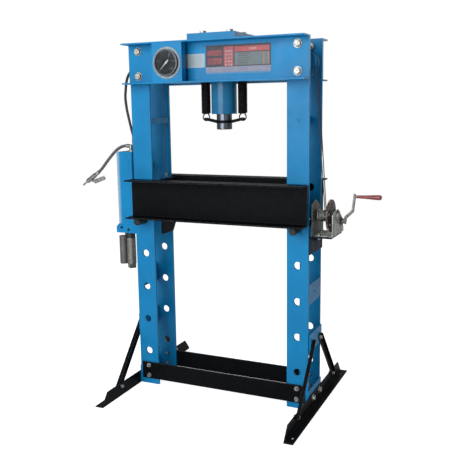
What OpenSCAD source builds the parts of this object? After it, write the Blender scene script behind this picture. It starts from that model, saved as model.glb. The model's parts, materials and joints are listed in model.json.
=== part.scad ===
// Air-hydraulic shop press: an H-frame of flat bars with a cylinder in its head, a bed on pins that a hand
// winch lifts, and a pump on the left upright. X is to the right, Y to the rear, Z up, in millimetres.
// The origin is on the floor, in the middle of the four anchor holes.

/* [Frame] */
// Height of the head beams' top above the floor
frame_h = 1816; // [1740:1:2000]
// Room between the uprights
opening_w = 740; // [660:1:860]
// Depth over the front and rear bars
frame_d = 210; // [190:1:220]
// Width of an upright bar
bar_w = 110; // [100:1:130]
// Thickness of an upright bar
bar_t = 12; // [8:0.5:14]
// Gap under the upright bars
bar_lift = 3; // [1:0.5:8]
// Height of the tube that ties two bars, above the floor
spacer_z = 1431; // [1380:1:1480]
// Outer height of that tube
spacer_h = 30; // [20:1:40]
// Wall of that tube
spacer_wall = 4; // [2:0.5:6]
// Width of that tube
spacer_w = 50; // [30:1:90]
// Play between that tube and the bars' inner edges
spacer_inset = 4; // [2:1:5]

// Height of the tie plate's lower edge above the floor
tie_z = 539; // [480:1:600]
// Height of the tie plate
tie_h = 101; // [80:1:120]
// Thickness of the tie plate
tie_t = 8; // [5:0.5:12]

/* [Pin holes] */
// Diameter of a pin hole
pin_hole_d = 39; // [38:0.5:44]
// Spacing of the pin holes
hole_pitch = 181; // [150:1:184]
// Height of the lowest pin hole
hole_low = 192; // [170:1:210]
// Pin holes in each bar
hole_count = 6; // [5:1:6]
// Pin hole that carries the bed, counted from the floor
bed_hole = 5; // [4:1:5]

/* [Channels] */
// Height of a head or bed channel
channel_h = 200; // [190:1:210]
// Width of a channel's flange
flange_w = 82; // [70:1:90]
// Thickness of a channel's web
web_t = 8; // [5:0.5:10]
// Thickness of a channel's flange
flange_t = 7; // [6:0.5:12]
// Radius inside a channel's corners
channel_r = 5; // [4:1:14]

/* [Head] */
// Width of the head plate
head_plate_w = 250; // [236:1:300]
// Depth of the head plate
head_plate_d = 300; // [270:1:360]
// Thickness of the head plate
head_plate_t = 32; // [20:1:40]
// Height of the lower beam bolts above the beam's underside
beam_bolt_low = 40; // [34:1:60]
// Height of the upper beam bolts above the beam's underside
beam_bolt_high = 163; // [150:1:164]

/* [Cylinder] */
// Outer diameter of the barrel
barrel_d = 128; // [120:1:134]
// Bore of the barrel
barrel_bore = 100; // [92:1:106]
// Length of the cylinder below the frame's top
cylinder_len = 353; // [330:1:380]
// Diameter of the ram rod
ram_d = 78; // [70:1:84]
// Length of rod that stands out of the barrel at rest
ram_out = 77; // [70:1:100]
// Thickness of the barrel's end wall round the rod
gland_t = 30; // [20:1:40]
// Side of the square flange on the barrel
mount_flange_w = 190; // [184:1:196]
// Thickness of that flange
mount_flange_t = 20; // [14:1:24]
// Height of the piston
piston_h = 40; // [30:1:50]

/* [Return springs] */
// Distance of a spring from the ram's axis
spring_x = 101; // [98:1:108]
// Outer diameter of a spring
spring_d = 48; // [40:1:52]
// Diameter of the spring wire
spring_wire = 6; // [4:0.5:6]
// Length of a spring's closed coils
spring_len = 220; // [200:1:236]
// Diameter of the pins that hold the spring loops
spring_pin_d = 10; // [8:0.5:12]

/* [Gauge] */
// Distance of the gauge from the middle, to the left
gauge_x = 219; // [212:1:224]
// Height of the gauge above the beam's underside
gauge_z = 97; // [92:1:104]
// Diameter of the gauge case
gauge_d = 128; // [110:1:134]
// Depth of the gauge case
gauge_depth = 54; // [40:1:60]
// How far the gauge stands out of its panel
gauge_out = 15; // [12:1:20]
// Diameter of the gauge's mounting ring
gauge_ring_d = 152; // [140:1:160]
// Width of the gauge panel
panel_w = 165; // [160:1:175]
// Depth of the gauge panel's side returns
panel_return = 40; // [20:1:60]
// Thickness of the gauge panel
panel_t = 3; // [2:0.5:4]

/* [Bed] */
// Room between the two bed channels
bed_gap = 248; // [224:1:264]
// Thickness of a guide plate
guide_t = 8; // [5:0.5:10]
// Gap between a guide plate and the upright
guide_gap = 12; // [10:1:13]
// Diameter of a bed pin
pin_d = 36; // [30:0.5:37]
// Length of a bed pin
pin_len = 370; // [330:1:430]

/* [Base] */
// Depth of the angle feet
foot_len = 952; // [900:1:1100]
// Height of an angle foot's upright leg
foot_h = 68; // [62:1:72]
// Width over an angle foot's floor leg
foot_w = 45; // [40:1:60]
// Thickness of an angle foot
foot_t = 5; // [4:0.5:8]
// Diameter of an anchor hole
anchor_d = 14; // [10:1:18]
// Distance of an anchor hole from the foot's end
anchor_end = 55; // [40:1:80]
// Distance of an anchor hole from the foot's outer edge
anchor_edge = 20; // [14:1:22]
// Height of a crossbar
crossbar_h = 92; // [84:1:110]
// Thickness of a crossbar
crossbar_t = 8; // [5:0.5:10]
// Height of a crossbar above the floor
crossbar_z = 35; // [20:1:38]
// Width of a brace's flat leg
brace_w = 34; // [32:1:40]
// Thickness of a brace
brace_t = 4; // [3:0.5:6]
// Height of a brace's upper bolt
brace_top_z = 335; // [300:1:370]
// Distance of a brace's lower bolt from the middle
brace_end_y = 300; // [260:1:380]

/* [Winch] */
// Height of the drum's axis
winch_z = 972; // [940:1:1000]
// Width inside the winch's side plates
winch_w = 92; // [90:1:110]
// Teeth on the drum gear
gear_teeth = 60; // [58:1:60]
// Teeth on the pinion
pinion_teeth = 10; // [10:1:11]
// Tooth size: pitch diameter over number of teeth
gear_module = 2.57; // [2.3:0.01:2.6]
// Width of the gear's rim
gear_w = 10; // [8:1:14]
// Diameter of the drum under the rope
drum_d = 43; // [36:1:48]
// Length of the crank arm
crank_len = 129; // [110:1:160]
// Length of the crank grip
grip_len = 118; // [90:1:140]
// Diameter of the wire rope
rope_d = 5; // [4:0.5:6]
// Radius at which the rope runs on a sheave
sheave_r = 54; // [46:1:58]
// Height of the sheaves above the beam's underside
sheave_z = 84; // [74:1:100]

/* [Pump] */
// Height of the pump's base block
pump_z = 828; // [800:1:860]
// Height of the oil tank
tank_h = 388; // [340:1:400]
// Width of the oil tank
tank_w = 99; // [84:1:126]
// Depth of the oil tank
tank_d = 118; // [106:1:140]
// Gap between the tank and the upright
tank_gap = 40; // [36:1:50]
// Thickness of the pump's base block
base_h = 52; // [40:1:70]
// Diameter of the air motor's barrel
motor_d = 50; // [42:1:54]
// Length of the air motor's barrel
motor_len = 145; // [120:1:170]
// Diameter of the pump barrel
pump_barrel_d = 46; // [38:1:50]
// Diameter of the hydraulic hose
oil_hose_d = 14; // [10:1:16]
// Diameter of the air hose
air_hose_d = 16; // [8:0.5:18]

/* [Hidden] */
$fn = 48;

blue = "#2f8ecb";
black = "#20262e";
zinc = "#c9ccc6";
steel = "#b4b8bc";
winch_grey = "#8f9a94";

running = 0.05;   // radial play of a shaft in its bore
seat_gap = 0.3;   // gap between pieces that rest on each other and move apart
bolt_slack = 1;   // play of a bolt in its hole, across the diameter

frame_w = opening_w + 2 * bar_w;
bar_x = (opening_w + bar_w) / 2;
bar_y = frame_d / 2;
inner_y = bar_y - bar_t;
beam_z = frame_h - channel_h;
web_y = bar_y + web_t;
flange_y = bar_y + flange_w;

// Bolts are the coarse metric sizes; a head is 1.5 diameters across its flats
head_bolt_d = 20;
foot_bolt_d = 16;
crossbar_bolt_d = 12;
brace_bolt_d = 12;
small_bolt_d = 10;
head_bolt_x = 72;
head_bolt_y = 80;
function washer_t(d) = 0.15 * d;
function head_t(d) = 0.65 * d;
function nut_t(d) = 0.8 * d;

// The bars of an upright are tied at its side by a foot plate, a brace plate and a tie plate
foot_plate_t = 5;
foot_plate_h = 97;
foot_bolt_y = 55;
foot_bolt_z = 50;
brace_plate_t = 16;
brace_plate_h = 87;
brace_plate_z = brace_top_z - 30;
brace_top_y = 56;
brace_end_z = 52;
brace_margin = 15;
brace_rib = 18;
foot_x = frame_w / 2 + foot_plate_t;
brace_x = foot_x + foot_t;
foot_tip_h = 8;
foot_slant = 51;
crossbar_inset = 14;
crossbar_bolt_low = 19;
crossbar_bolt_high = crossbar_h - 17;

// Cylinder and ram, which share the vertical axis at the origin
mouth_z = frame_h - cylinder_len;
nose_z = mouth_z - ram_out;
chamber_top = frame_h - 24;
piston_top = chamber_top - 6;
spigot_d = 40;
nose_chamfer = 3;
port_y = -35;
port_z = frame_h - 46;
port_x = -100;

// Springs: closed coils with a round loop at each end, held by pins in forks
coil_bottom = mouth_z;
coil_top = coil_bottom + spring_len;
loop_d = 36;
loop_rise = 15;
low_loop_z = coil_bottom - loop_rise;
high_loop_z = coil_top + loop_rise;
pin_offset = (loop_d - spring_wire - spring_pin_d) / 2 - seat_gap;
low_pin_z = low_loop_z - pin_offset;
high_pin_z = high_loop_z + pin_offset;
fork_gap = 12;
fork_t = 4;
fork_h = 14;
collar_t = 5;
collar_z = nose_z + 39;

// Gauge
panel_z = beam_z + flange_t;
panel_h = channel_h - 2 * flange_t;
gauge_height = beam_z + gauge_z;
gauge_wall = 3;
gauge_lip = 5;
gauge_front = -flange_y - gauge_out;
gauge_back = gauge_front + gauge_depth;
dial_y = gauge_front + 9;
dial_t = 1.5;
pointer_y = dial_y - 3;
pointer_t = 1;
pointer_len = 40;
pointer_tail = 17;
pointer_shaft_d = 4;
pointer_rest = 225;
gauge_line_d = 10;
gauge_line_y = -45;

// Bed, at rest on its pins
bed_pin_z = hole_low + (bed_hole - 1) * hole_pitch - (pin_hole_d - pin_d) / 2 + seat_gap;
bed_z = bed_pin_z + pin_d / 2 + seat_gap;
guide_x = opening_w / 2 - guide_gap;
guide_below = 100;
guide_front_below = 13;
guide_front_y = 46;
guide_top = 7;
guide_slant_z = 73;
guide_slant_y = 52;
pin_chamfer = 3;

// Ropes: both rise from the winch to the right sheave, and the long one goes on to the left sheave
short_rope_y = -6;
long_rope_y = 36;
rope_step = 7.5;
drop_gap = 8;
drop_x = guide_x + drop_gap;
sheave_height = beam_z + sheave_z;
right_sheave_x = drop_x + sheave_r;
left_sheave_x = -drop_x + sheave_r;
sheave_w = 20;
sheave_rim = 6;
sheave_hub_d = 40;
sheave_hole_at = 0.58; // place of its light holes, as a share of its radius
axle_d = 20;
collar_d = 28;
groove_play = 1.2;
groove_flare = 35;
horn_half = 30;
horn_lip = 4;
horn_play = 2.5;
horn_seat_y = barrel_d / 2 + 3;
horn_rope_y = horn_seat_y + rope_d / 2 + seat_gap;
eye_rise = 186;
eye_z = bed_z + eye_rise;
eye_r = 11;
eye_wire = 5;
lug_t = 4;
lug_hole_r = 5;
lug_hole_z = eye_z - eye_r - lug_hole_r + eye_wire / 2 + 0.4;
ferrule_d = 11;
ferrule_h = 27;
ferrule_z = eye_z + eye_r - 2;

// Winch, on a bracket at the right upright's side
winch_t = 3;
winch_x = frame_w / 2 + 7;
winch_left = winch_x + winch_t;
winch_right = winch_left + winch_w;
winch_drop = 91;
winch_floor = winch_z - winch_drop;
shelf_t = 6;
shelf_z = winch_floor - winch_t - shelf_t;
shelf_plate_h = 80;
gusset_h = 20;
gusset_w = 45;
gusset_y = 33;
gear_r = gear_module * gear_teeth / 2;
pinion_r = gear_module * pinion_teeth / 2;
pinion_angle = -24;
pinion_y = (gear_r + pinion_r) * cos(pinion_angle);
pinion_z = winch_z + (gear_r + pinion_r) * sin(pinion_angle);
pressure_angle = 25;
tooth_play = 0.5;
gear_x = winch_right - 29;
drum_x = winch_left + 3;
drum_flange_d = 62;
drum_flange_x = drum_x + 5;
wrap_count = 6;
wrap_x = drum_flange_x + 4 + rope_d / 2;
drum_shaft_d = 16;
pinion_shaft_d = 14;
ratchet_x = winch_right + winch_t + 1.5;
ratchet_t = 6;
ratchet_r = 20;
ratchet_teeth = 8;
ratchet_step = 5;
pawl_y = 28;
pawl_z = winch_z + 14;
pawl_pin_d = 8;
pawl_tail = 16;
pawl_r = 9;
hub_x = ratchet_x + ratchet_t + 0.5;
hub_w = 19;
arm_jog = 31;
arm_t = 8;
arm_w = 24;
crank_angle = 63.2;
crank_y = pinion_y + crank_len * cos(crank_angle);
crank_z = pinion_z + crank_len * sin(crank_angle);
arm_out_x = hub_x + hub_w - arm_t + arm_jog;
grip_x = arm_out_x + arm_t + 9;
spindle_d = 10;
grip_thin = 15;
grip_thick = 25;
rope_start_x = wrap_x + (wrap_count + 0.5) * rope_d + 1;
rope_start_y = -(drum_d + rope_d) / 2 - seat_gap;

// Pump, on the left upright's side
tank_x1 = -frame_w / 2 - tank_gap;
tank_x0 = tank_x1 - tank_w;
tank_wall = 3;
tank_r = 9;
tank_z = pump_z + base_h;
tank_top = tank_z + tank_h;
base_out = 14;
base_reach = 23;
base_chamfer = 18;
strap_h = 30;
strap_low = 30;
strap_high = 90;
strap_y = -42;
motor_x = tank_x1 - 45;
motor_y = -24;
motor_cap_h = 31;
motor_top = pump_z - motor_cap_h;
motor_foot_h = 24;
motor_foot_w = 36;
motor_foot_turn = 50;
pump_barrel_x = tank_x0 + 5;
pump_barrel_over = 10;
pump_barrel_drop = 23;
pump_neck_d = 14;
pump_neck = [12, 10];
knob_x = tank_x0 + 40;
knob_z = pump_z + base_h / 2;
knob_d = 28;
knob_stem_d = 10;
knob_stem_in = 24;
oil_port_x = -548;
oil_port_y = 12;
air_port_x = -534;
air_port_y = -40;
port_rise = 42;
air_rise = 32;

// Routes of the two hoses, chosen point by point
oil_route = [
  [-100.3, -35, 1770], [-160, -36, 1768], [-240, -38, 1762], [-320, -40, 1752], [-400, -40, 1738],
  [-460, -36, 1722], [-510, -28, 1700], [-545, -18, 1670], [-566, -8, 1635], [-578, 0, 1593],
  [-584, 4, 1550], [-580, 8, 1491], [-568, 10, 1430], [-556, 12, 1375], [-550, 12, 1355],
  [-548, 12, 1335], [-548, 12, 1310.3]
];
air_route = [
  [-544, -40, 1300], [-565, -40, 1300], [-586, -40, 1296.6], [-606.5, -40, 1288], [-626.5, -40, 1275],
  [-645.5, -40, 1258.7], [-664, -40, 1240.3], [-682.5, -40, 1220.7], [-701.5, -40, 1199.5],
  [-721.5, -40, 1177], [-742.8, -40, 1157.1], [-764, -40, 1142.3]
];
valve_heading = heading(air_route, len(air_route) - 1);
valve_start = air_route[len(air_route) - 1] + seat_gap * valve_heading;
valve_angle = asin(-valve_heading[2]);
valve_len = 75;
valve_d = 26;
nipple_len = 34;
lever_along = 39;
lever_pivot_x = valve_d / 2 + 4.3;
lever_lean = 14;
lever_len = 78;
lever_w = 10;
lever_t = 3;
lever_depth = 20;
lever_wall = 2;
lever_eye_r = 4;
lever_pin_d = 4;

// ---------- helpers ----------

module box(lo, hi) {
  translate(lo) cube(hi - lo);
}

// Left and right copies of what stands on the right
module both_sides() {
  children();
  mirror([1, 0, 0]) children();
}

// Front and rear copies of what stands at the rear
module both_faces() {
  children();
  mirror([0, 1, 0]) children();
}

// Extrudes an outline drawn in Y and Z from x0 to x1
module along_x(x0, x1) {
  translate([x0, 0, 0]) rotate([90, 0, 90]) linear_extrude(x1 - x0) children();
}

// Extrudes an outline drawn in X and Z from y0 to y1
module along_y(y0, y1) {
  translate([0, y1, 0]) rotate([90, 0, 0]) linear_extrude(y1 - y0) children();
}

// A round bar from a to b
module rod(a, b, d) {
  v = b - a;
  translate(a) rotate([0, acos(v[2] / norm(v)), atan2(v[1], v[0])]) cylinder(d = d, h = norm(v));
}

module rod_x(x0, x1, y, z, d) {
  translate([x0, y, z]) rotate([0, 90, 0]) cylinder(d = d, h = x1 - x0);
}

module rod_y(y0, y1, x, z, d) {
  translate([x, y1, z]) rotate([90, 0, 0]) cylinder(d = d, h = y1 - y0);
}

module hex(d, h) {
  rotate([0, 0, 30]) cylinder(d = 1.5 * d / cos(30), h = h, $fn = 6);
}

// A hex bolt along +Z, with its washer under z = 0 and its nut on z = grip
module bolt(d, grip) {
  translate([0, 0, -washer_t(d) - head_t(d)]) hex(d, head_t(d));
  translate([0, 0, -washer_t(d)]) cylinder(d = 2.1 * d, h = washer_t(d));
  translate([0, 0, -washer_t(d)]) cylinder(d = d, h = washer_t(d) + grip + nut_t(d) + 0.3 * d);
  translate([0, 0, grip]) hex(d, nut_t(d));
}

// A bolt whose head faces the rear, at height z
module bolt_y(d, x, y, z, grip) {
  translate([x, y, z]) rotate([90, 0, 0]) bolt(d, grip);
}

// A bolt whose head faces the right, at height z
module bolt_x(d, x, y, z, grip) {
  translate([x, y, z]) rotate([0, -90, 0]) bolt(d, grip);
}

module rounded_square(size, r) {
  translate([r, 0]) square([size[0] - 2 * r, size[1]]);
  translate([0, r]) square([size[0], size[1] - 2 * r]);
  for (x = [r, size[0] - r], y = [r, size[1] - r]) translate([x, y]) circle(r);
}

// Ring of round wire in the XZ plane
module wire_ring(r, wire) {
  rotate([90, 0, 0]) rotate_extrude() translate([r, 0]) circle(d = wire);
}

// Points of a smooth curve through p, with n steps between neighbours
function spline_at(a, b, c, d, t) =
  0.5 * (2 * b + (c - a) * t + (2 * a - 5 * b + 4 * c - d) * t * t + (3 * b - a - 3 * c + d) * t * t * t);
function spline(p, n) = [
  for (i = [0 : len(p) - 2], k = [0 : n - 1])
    spline_at(p[max(i - 1, 0)], p[i], p[i + 1], p[min(i + 2, len(p) - 1)], k / n),
  p[len(p) - 1]
];
function unit(v) = v / norm(v);
function heading(p, i) = unit(p[min(i + 1, len(p) - 1)] - p[max(i - 1, 0)]);

// A round tube swept along points that never run along Y
module swept(points, d, sides) {
  rings = [
    for (i = [0 : len(points) - 1])
      let (t = heading(points, i), u = unit(cross([0, 1, 0], t)), v = cross(t, u))
      for (k = [0 : sides - 1])
        points[i] + d / 2 * (cos(360 * k / sides) * u + sin(360 * k / sides) * v)
  ];
  last = (len(points) - 1) * sides;
  walls = [
    for (i = [0 : len(points) - 2], k = [0 : sides - 1])
      let (a = i * sides + k, b = i * sides + (k + 1) % sides)
      [a, a + sides, b + sides, b]
  ];
  start_cap = [for (k = [0 : sides - 1]) k];
  end_cap = [for (k = [sides - 1 : -1 : 0]) last + k];
  polyhedron(rings, concat([start_cap], walls, [end_cap]));
}

// ---------- frame ----------

beam_bolt_z = [beam_z + beam_bolt_low, beam_z + beam_bolt_high];
crossbar_bolt_z = [crossbar_z + crossbar_bolt_low, crossbar_z + crossbar_bolt_high];

module bolt_hole_y(d, x, z) {
  rod_y(0, flange_y + 1, x, z, d + bolt_slack);
}

module bolt_hole_x(d, y, z) {
  rod_x(opening_w / 2, brace_x + foot_w, y, z, d + bolt_slack);
}

// The rear right bar
module upright_bar() {
  color(blue) difference() {
    box([opening_w / 2, inner_y, bar_lift], [frame_w / 2, bar_y, frame_h]);
    for (i = [0 : hole_count - 1]) rod_y(0, frame_d, bar_x, hole_low + i * hole_pitch, pin_hole_d);
    for (z = beam_bolt_z) bolt_hole_y(head_bolt_d, bar_x, z);
    for (z = crossbar_bolt_z) bolt_hole_y(crossbar_bolt_d, bar_x, z);
  }
}

module upright_rear_right() upright_bar();
module upright_front_right() mirror([0, 1, 0]) upright_bar();
module upright_rear_left() mirror([1, 0, 0]) upright_bar();
module upright_front_left() mirror([1, 0, 0]) mirror([0, 1, 0]) upright_bar();

module upright_spacers() {
  color(blue) both_sides() along_y(-inner_y, inner_y) difference() {
    translate([opening_w / 2 + spacer_inset, spacer_z - spacer_h / 2])
      square([spacer_w, spacer_h]);
    translate([opening_w / 2 + spacer_inset + spacer_wall, spacer_z - spacer_h / 2 + spacer_wall])
      square([spacer_w - 2 * spacer_wall, spacer_h - 2 * spacer_wall]);
  }
}

module side_plates() {
  color(blue) both_sides() difference() {
    union() {
      box([frame_w / 2, -bar_y, bar_lift], [foot_x, bar_y, bar_lift + foot_plate_h]);
      box([brace_x - brace_plate_t, -inner_y, brace_plate_z],
        [brace_x, inner_y, brace_plate_z + brace_plate_h]);
      box([frame_w / 2 - tie_t, -inner_y, tie_z], [frame_w / 2, inner_y, tie_z + tie_h]);
    }
    bolt_hole_x(brace_bolt_d, 0, tie_z + tie_h / 2);
    for (s = [-1, 1]) {
      bolt_hole_x(foot_bolt_d, s * foot_bolt_y, foot_bolt_z);
      bolt_hole_x(brace_bolt_d, s * brace_top_y, brace_top_z);
    }
  }
}

module foot() {
  half = foot_len / 2;
  color(black) difference() {
    union() {
      along_x(foot_x, foot_x + foot_t) polygon([
        [-half, 0], [half, 0], [half, foot_tip_h], [half - foot_slant, foot_h],
        [foot_slant - half, foot_h], [-half, foot_tip_h]
      ]);
      box([foot_x, -half, 0], [foot_x + foot_w, half, foot_t]);
    }
    for (s = [-1, 1]) {
      translate([foot_x + foot_w - anchor_edge, s * (half - anchor_end), -1])
        cylinder(d = anchor_d, h = foot_t + 2);
      bolt_hole_x(foot_bolt_d, s * foot_bolt_y, foot_bolt_z);
      bolt_hole_x(brace_bolt_d, s * brace_end_y, brace_end_z);
    }
  }
}

module foot_right() foot();
module foot_left() mirror([1, 0, 0]) foot();

// The rear right brace: a flat leg bolted at both ends, with a rib along its upper edge
module brace() {
  run = [brace_end_y - brace_top_y, brace_end_z - brace_top_z];
  span = norm(run);
  color(black) difference() {
    translate([brace_x, brace_top_y, brace_top_z]) rotate([atan2(run[1], run[0]), 0, 0]) {
      box([0, -brace_margin, -brace_w / 2], [brace_t, span + brace_margin, brace_w / 2]);
      box([0, -brace_margin, brace_w / 2 - brace_t], [brace_rib, span + brace_margin, brace_w / 2]);
    }
    bolt_hole_x(brace_bolt_d, brace_top_y, brace_top_z);
    bolt_hole_x(brace_bolt_d, brace_end_y, brace_end_z);
  }
}

module braces_right() both_faces() brace();
module braces_left() mirror([1, 0, 0]) both_faces() brace();

module crossbar() {
  half = frame_w / 2 - crossbar_inset;
  color(black) difference() {
    box([-half, bar_y, crossbar_z], [half, bar_y + crossbar_t, crossbar_z + crossbar_h]);
    both_sides() for (z = crossbar_bolt_z) bolt_hole_y(crossbar_bolt_d, bar_x, z);
  }
}

module crossbar_rear() crossbar();
module crossbar_front() mirror([0, 1, 0]) crossbar();

// ---------- head ----------

// A channel with its back on x = 0 and its foot on y = 0
module channel_section() {
  inner_h = channel_h - 2 * flange_t;
  difference() {
    square([flange_w, channel_h]);
    translate([web_t, flange_t]) rounded_square([2 * flange_w, inner_h], channel_r);
  }
}

module head_beam() {
  difference() {
    translate([0, bar_y, beam_z]) along_x(-frame_w / 2, frame_w / 2) channel_section();
    both_sides() for (z = beam_bolt_z) bolt_hole_y(head_bolt_d, bar_x, z);
  }
}

module beam_rear() color(blue) head_beam();

module beam_front() {
  color(blue) difference() {
    mirror([0, 1, 0]) head_beam();
    rod_y(-web_y - 1, -bar_y + 1, -gauge_x, gauge_height, gauge_line_d + 6);
  }
}

module head_bolt_places() {
  for (x = [-head_bolt_x, head_bolt_x], y = [-head_bolt_y, head_bolt_y]) translate([x, y, 0]) children();
}

module head_plate() {
  color(blue) difference() {
    box([-head_plate_w / 2, -head_plate_d / 2, frame_h],
        [head_plate_w / 2, head_plate_d / 2, frame_h + head_plate_t]);
    head_bolt_places() translate([0, 0, frame_h - 1])
      cylinder(d = head_bolt_d + bolt_slack, h = head_plate_t + 2);
  }
}

module head_bolts() {
  color(zinc) {
    both_sides() both_faces() for (z = beam_bolt_z) bolt_y(head_bolt_d, bar_x, web_y, z, web_t + bar_t);
    head_bolt_places() translate([0, 0, frame_h + head_plate_t]) rotate([180, 0, 0])
      bolt(head_bolt_d, head_plate_t + mount_flange_t);
  }
}

module frame_bolts() {
  color(zinc) {
    both_sides() both_faces() {
      for (z = crossbar_bolt_z)
        bolt_y(crossbar_bolt_d, bar_x, bar_y + crossbar_t, z, crossbar_t + bar_t);
      bolt_x(foot_bolt_d, foot_x + foot_t, foot_bolt_y, foot_bolt_z, foot_plate_t + foot_t);
      bolt_x(brace_bolt_d, brace_x + brace_t, brace_top_y, brace_top_z, brace_t + brace_plate_t);
      bolt_x(brace_bolt_d, brace_x + brace_t, brace_end_y, brace_end_z, brace_x + brace_t - foot_x);
    }
    for (p = winch_bolt_places) translate([p[0], p[1], winch_floor]) rotate([180, 0, 0])
      bolt(small_bolt_d, winch_t + shelf_t);
    for (p = base_screw_places) translate([p[0], -tank_d / 2, p[1]]) rotate([90, 0, 0]) {
      cylinder(d = small_bolt_d + 3, h = 7);
      translate([0, 0, -10]) cylinder(d = small_bolt_d, h = 12);
    }
  }
}

// A fork that holds a spring's loop: two arms from x0 to the spring's axis, with holes for its pin
module fork_arms(x0, z0, z1) {
  run = [spring_x - x0, z1 - z0];
  side = [-run[1], run[0]] / norm(run) * fork_h / 2;
  both_faces() along_y(fork_gap / 2, fork_gap / 2 + fork_t) difference() {
    union() {
      polygon([[x0, z0] - side, [spring_x, z1] - side, [spring_x, z1] + side, [x0, z0] + side]);
      translate([spring_x, z1]) circle(d = fork_h);
    }
    translate([spring_x, z1]) circle(d = spring_pin_d + 2 * running);
  }
}

module fork_pin(z) {
  reach = fork_gap / 2 + fork_t;
  rod_y(-reach - 1, reach + 1, spring_x, z, spring_pin_d);
  both_faces() rod_y(reach + running, reach + 3, spring_x, z, spring_pin_d + 4);
}

// A saddle on the barrel's back that leads the long rope round it
module rope_horn() {
  inside = barrel_d / 2 - 9;
  crest = sheave_height + sheave_r;
  low = crest - rope_d / 2 - horn_play;
  high = crest + rope_d / 2 + horn_play;
  tip = horn_rope_y + rope_d;
  along_x(-horn_half, horn_half) polygon([
    [inside, low - horn_lip], [tip, low - horn_lip], [tip, low], [horn_seat_y, low],
    [horn_seat_y, high], [tip, high], [tip, high + horn_lip], [inside, high + horn_lip]
  ]);
}

module press_cylinder() {
  color(blue) difference() {
    union() {
      rope_horn();
      translate([0, 0, mouth_z]) cylinder(d = barrel_d, h = cylinder_len);
      translate([-mount_flange_w / 2, -mount_flange_w / 2, frame_h - mount_flange_t])
        cube([mount_flange_w, mount_flange_w, mount_flange_t]);
      both_sides() fork_arms(barrel_d / 2 - 4, high_pin_z, high_pin_z);
      rod_x(-barrel_d / 2 - 16, -barrel_d / 4, port_y, port_z, 24);
    }
    translate([0, 0, mouth_z + gland_t]) cylinder(d = barrel_bore, h = chamber_top - mouth_z - gland_t);
    translate([0, 0, mouth_z - 1]) cylinder(d = ram_d + 2 * running, h = gland_t + 2);
    head_bolt_places() translate([0, 0, frame_h - mount_flange_t - 1])
      cylinder(d = head_bolt_d + bolt_slack, h = mount_flange_t + 2);
  }
  color(zinc) both_sides() fork_pin(high_pin_z);
}

module piston() {
  color(steel) difference() {
    translate([0, 0, piston_top - piston_h]) cylinder(d = barrel_bore - 2 * running, h = piston_h);
    translate([0, 0, piston_top - piston_h - 1]) cylinder(d = spigot_d + 2 * running, h = piston_h + 2);
  }
}

module ram_rod() {
  r = ram_d / 2;
  shoulder = piston_top - piston_h;
  color(steel) rotate_extrude() polygon([
    [0, nose_z], [r - nose_chamfer, nose_z], [r, nose_z + nose_chamfer], [r, shoulder],
    [spigot_d / 2, shoulder], [spigot_d / 2, piston_top], [0, piston_top]
  ]);
}

// Two straps round the rod, with arms that rise to the springs, and the pins through their ends
module spring_yoke() {
  r = ram_d / 2 + running;
  color(black) {
    difference() {
      union() {
        both_faces() intersection() {
          translate([0, 0, collar_z - fork_h / 2]) cylinder(r = r + collar_t, h = fork_h);
          translate([-ram_d, fork_gap / 2, collar_z - fork_h]) cube([2 * ram_d, ram_d, 2 * fork_h]);
        }
        both_sides() fork_arms(r + 1, collar_z, low_pin_z);
      }
      translate([0, 0, collar_z - fork_h]) cylinder(r = r, h = 2 * fork_h);
    }
    both_sides() fork_pin(low_pin_z);
  }
}

// A spring on the right: closed coils drawn as rings, with a loop and its crossing wire at each end
module return_spring() {
  r = (spring_d - spring_wire) / 2;
  count = floor(spring_len / spring_wire);
  pitch = (spring_len - spring_wire) / (count - 1);
  color(black) translate([spring_x, 0, 0]) {
    translate([0, 0, coil_bottom]) rotate_extrude() {
      for (i = [0 : count - 1]) translate([r, spring_wire / 2 + i * pitch]) circle(d = spring_wire);
      translate([r - spring_wire / 4, spring_wire / 2]) square([spring_wire / 2, spring_len - spring_wire]);
    }
    for (z = [low_loop_z, high_loop_z])
      translate([0, 0, z]) wire_ring(loop_d / 2, spring_wire);
    for (z = [coil_bottom + spring_wire / 2, coil_top - spring_wire / 2])
      rod_y(0, r, 0, z, spring_wire);
  }
}

module return_spring_right() return_spring();
module return_spring_left() mirror([1, 0, 0]) return_spring();

// ---------- gauge and plates on the front beam ----------

plate_t = 1.2;
plate_boxes = [
  [-160, 72, -48, 138], [-42, 61, 295, 174], [-42, 38, 295, 49]
];

// Plain plates: left, lower edge, right and upper edge, from the middle and from the beam's underside
module label_plates() {
  color(zinc) for (b = plate_boxes)
    box([b[0], -web_y - plate_t, beam_z + b[1]], [b[2], -web_y, beam_z + b[3]]);
}

// A bent sheet between the flanges, with a return at each side
module gauge_panel() {
  x0 = -gauge_x - panel_w / 2;
  x1 = x0 + panel_w;
  color(blue) difference() {
    union() {
      box([x0, -flange_y, panel_z], [x1, -flange_y + panel_t, panel_z + panel_h]);
      box([x0, -flange_y, panel_z], [x0 + panel_t, -flange_y + panel_return, panel_z + panel_h]);
      box([x1 - panel_t, -flange_y, panel_z], [x1, -flange_y + panel_return, panel_z + panel_h]);
    }
    rod_y(-flange_y - 1, -flange_y + panel_t + 1, -gauge_x, gauge_height, gauge_d + 1);
  }
}

// The mounting ring lies on the panel
module gauge_ring() {
  color(zinc) difference() {
    rod_y(-flange_y - 3, -flange_y, -gauge_x, gauge_height, gauge_ring_d);
    rod_y(-flange_y - 4, -flange_y + 1, -gauge_x, gauge_height, gauge_d + 2 * running);
  }
}

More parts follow.
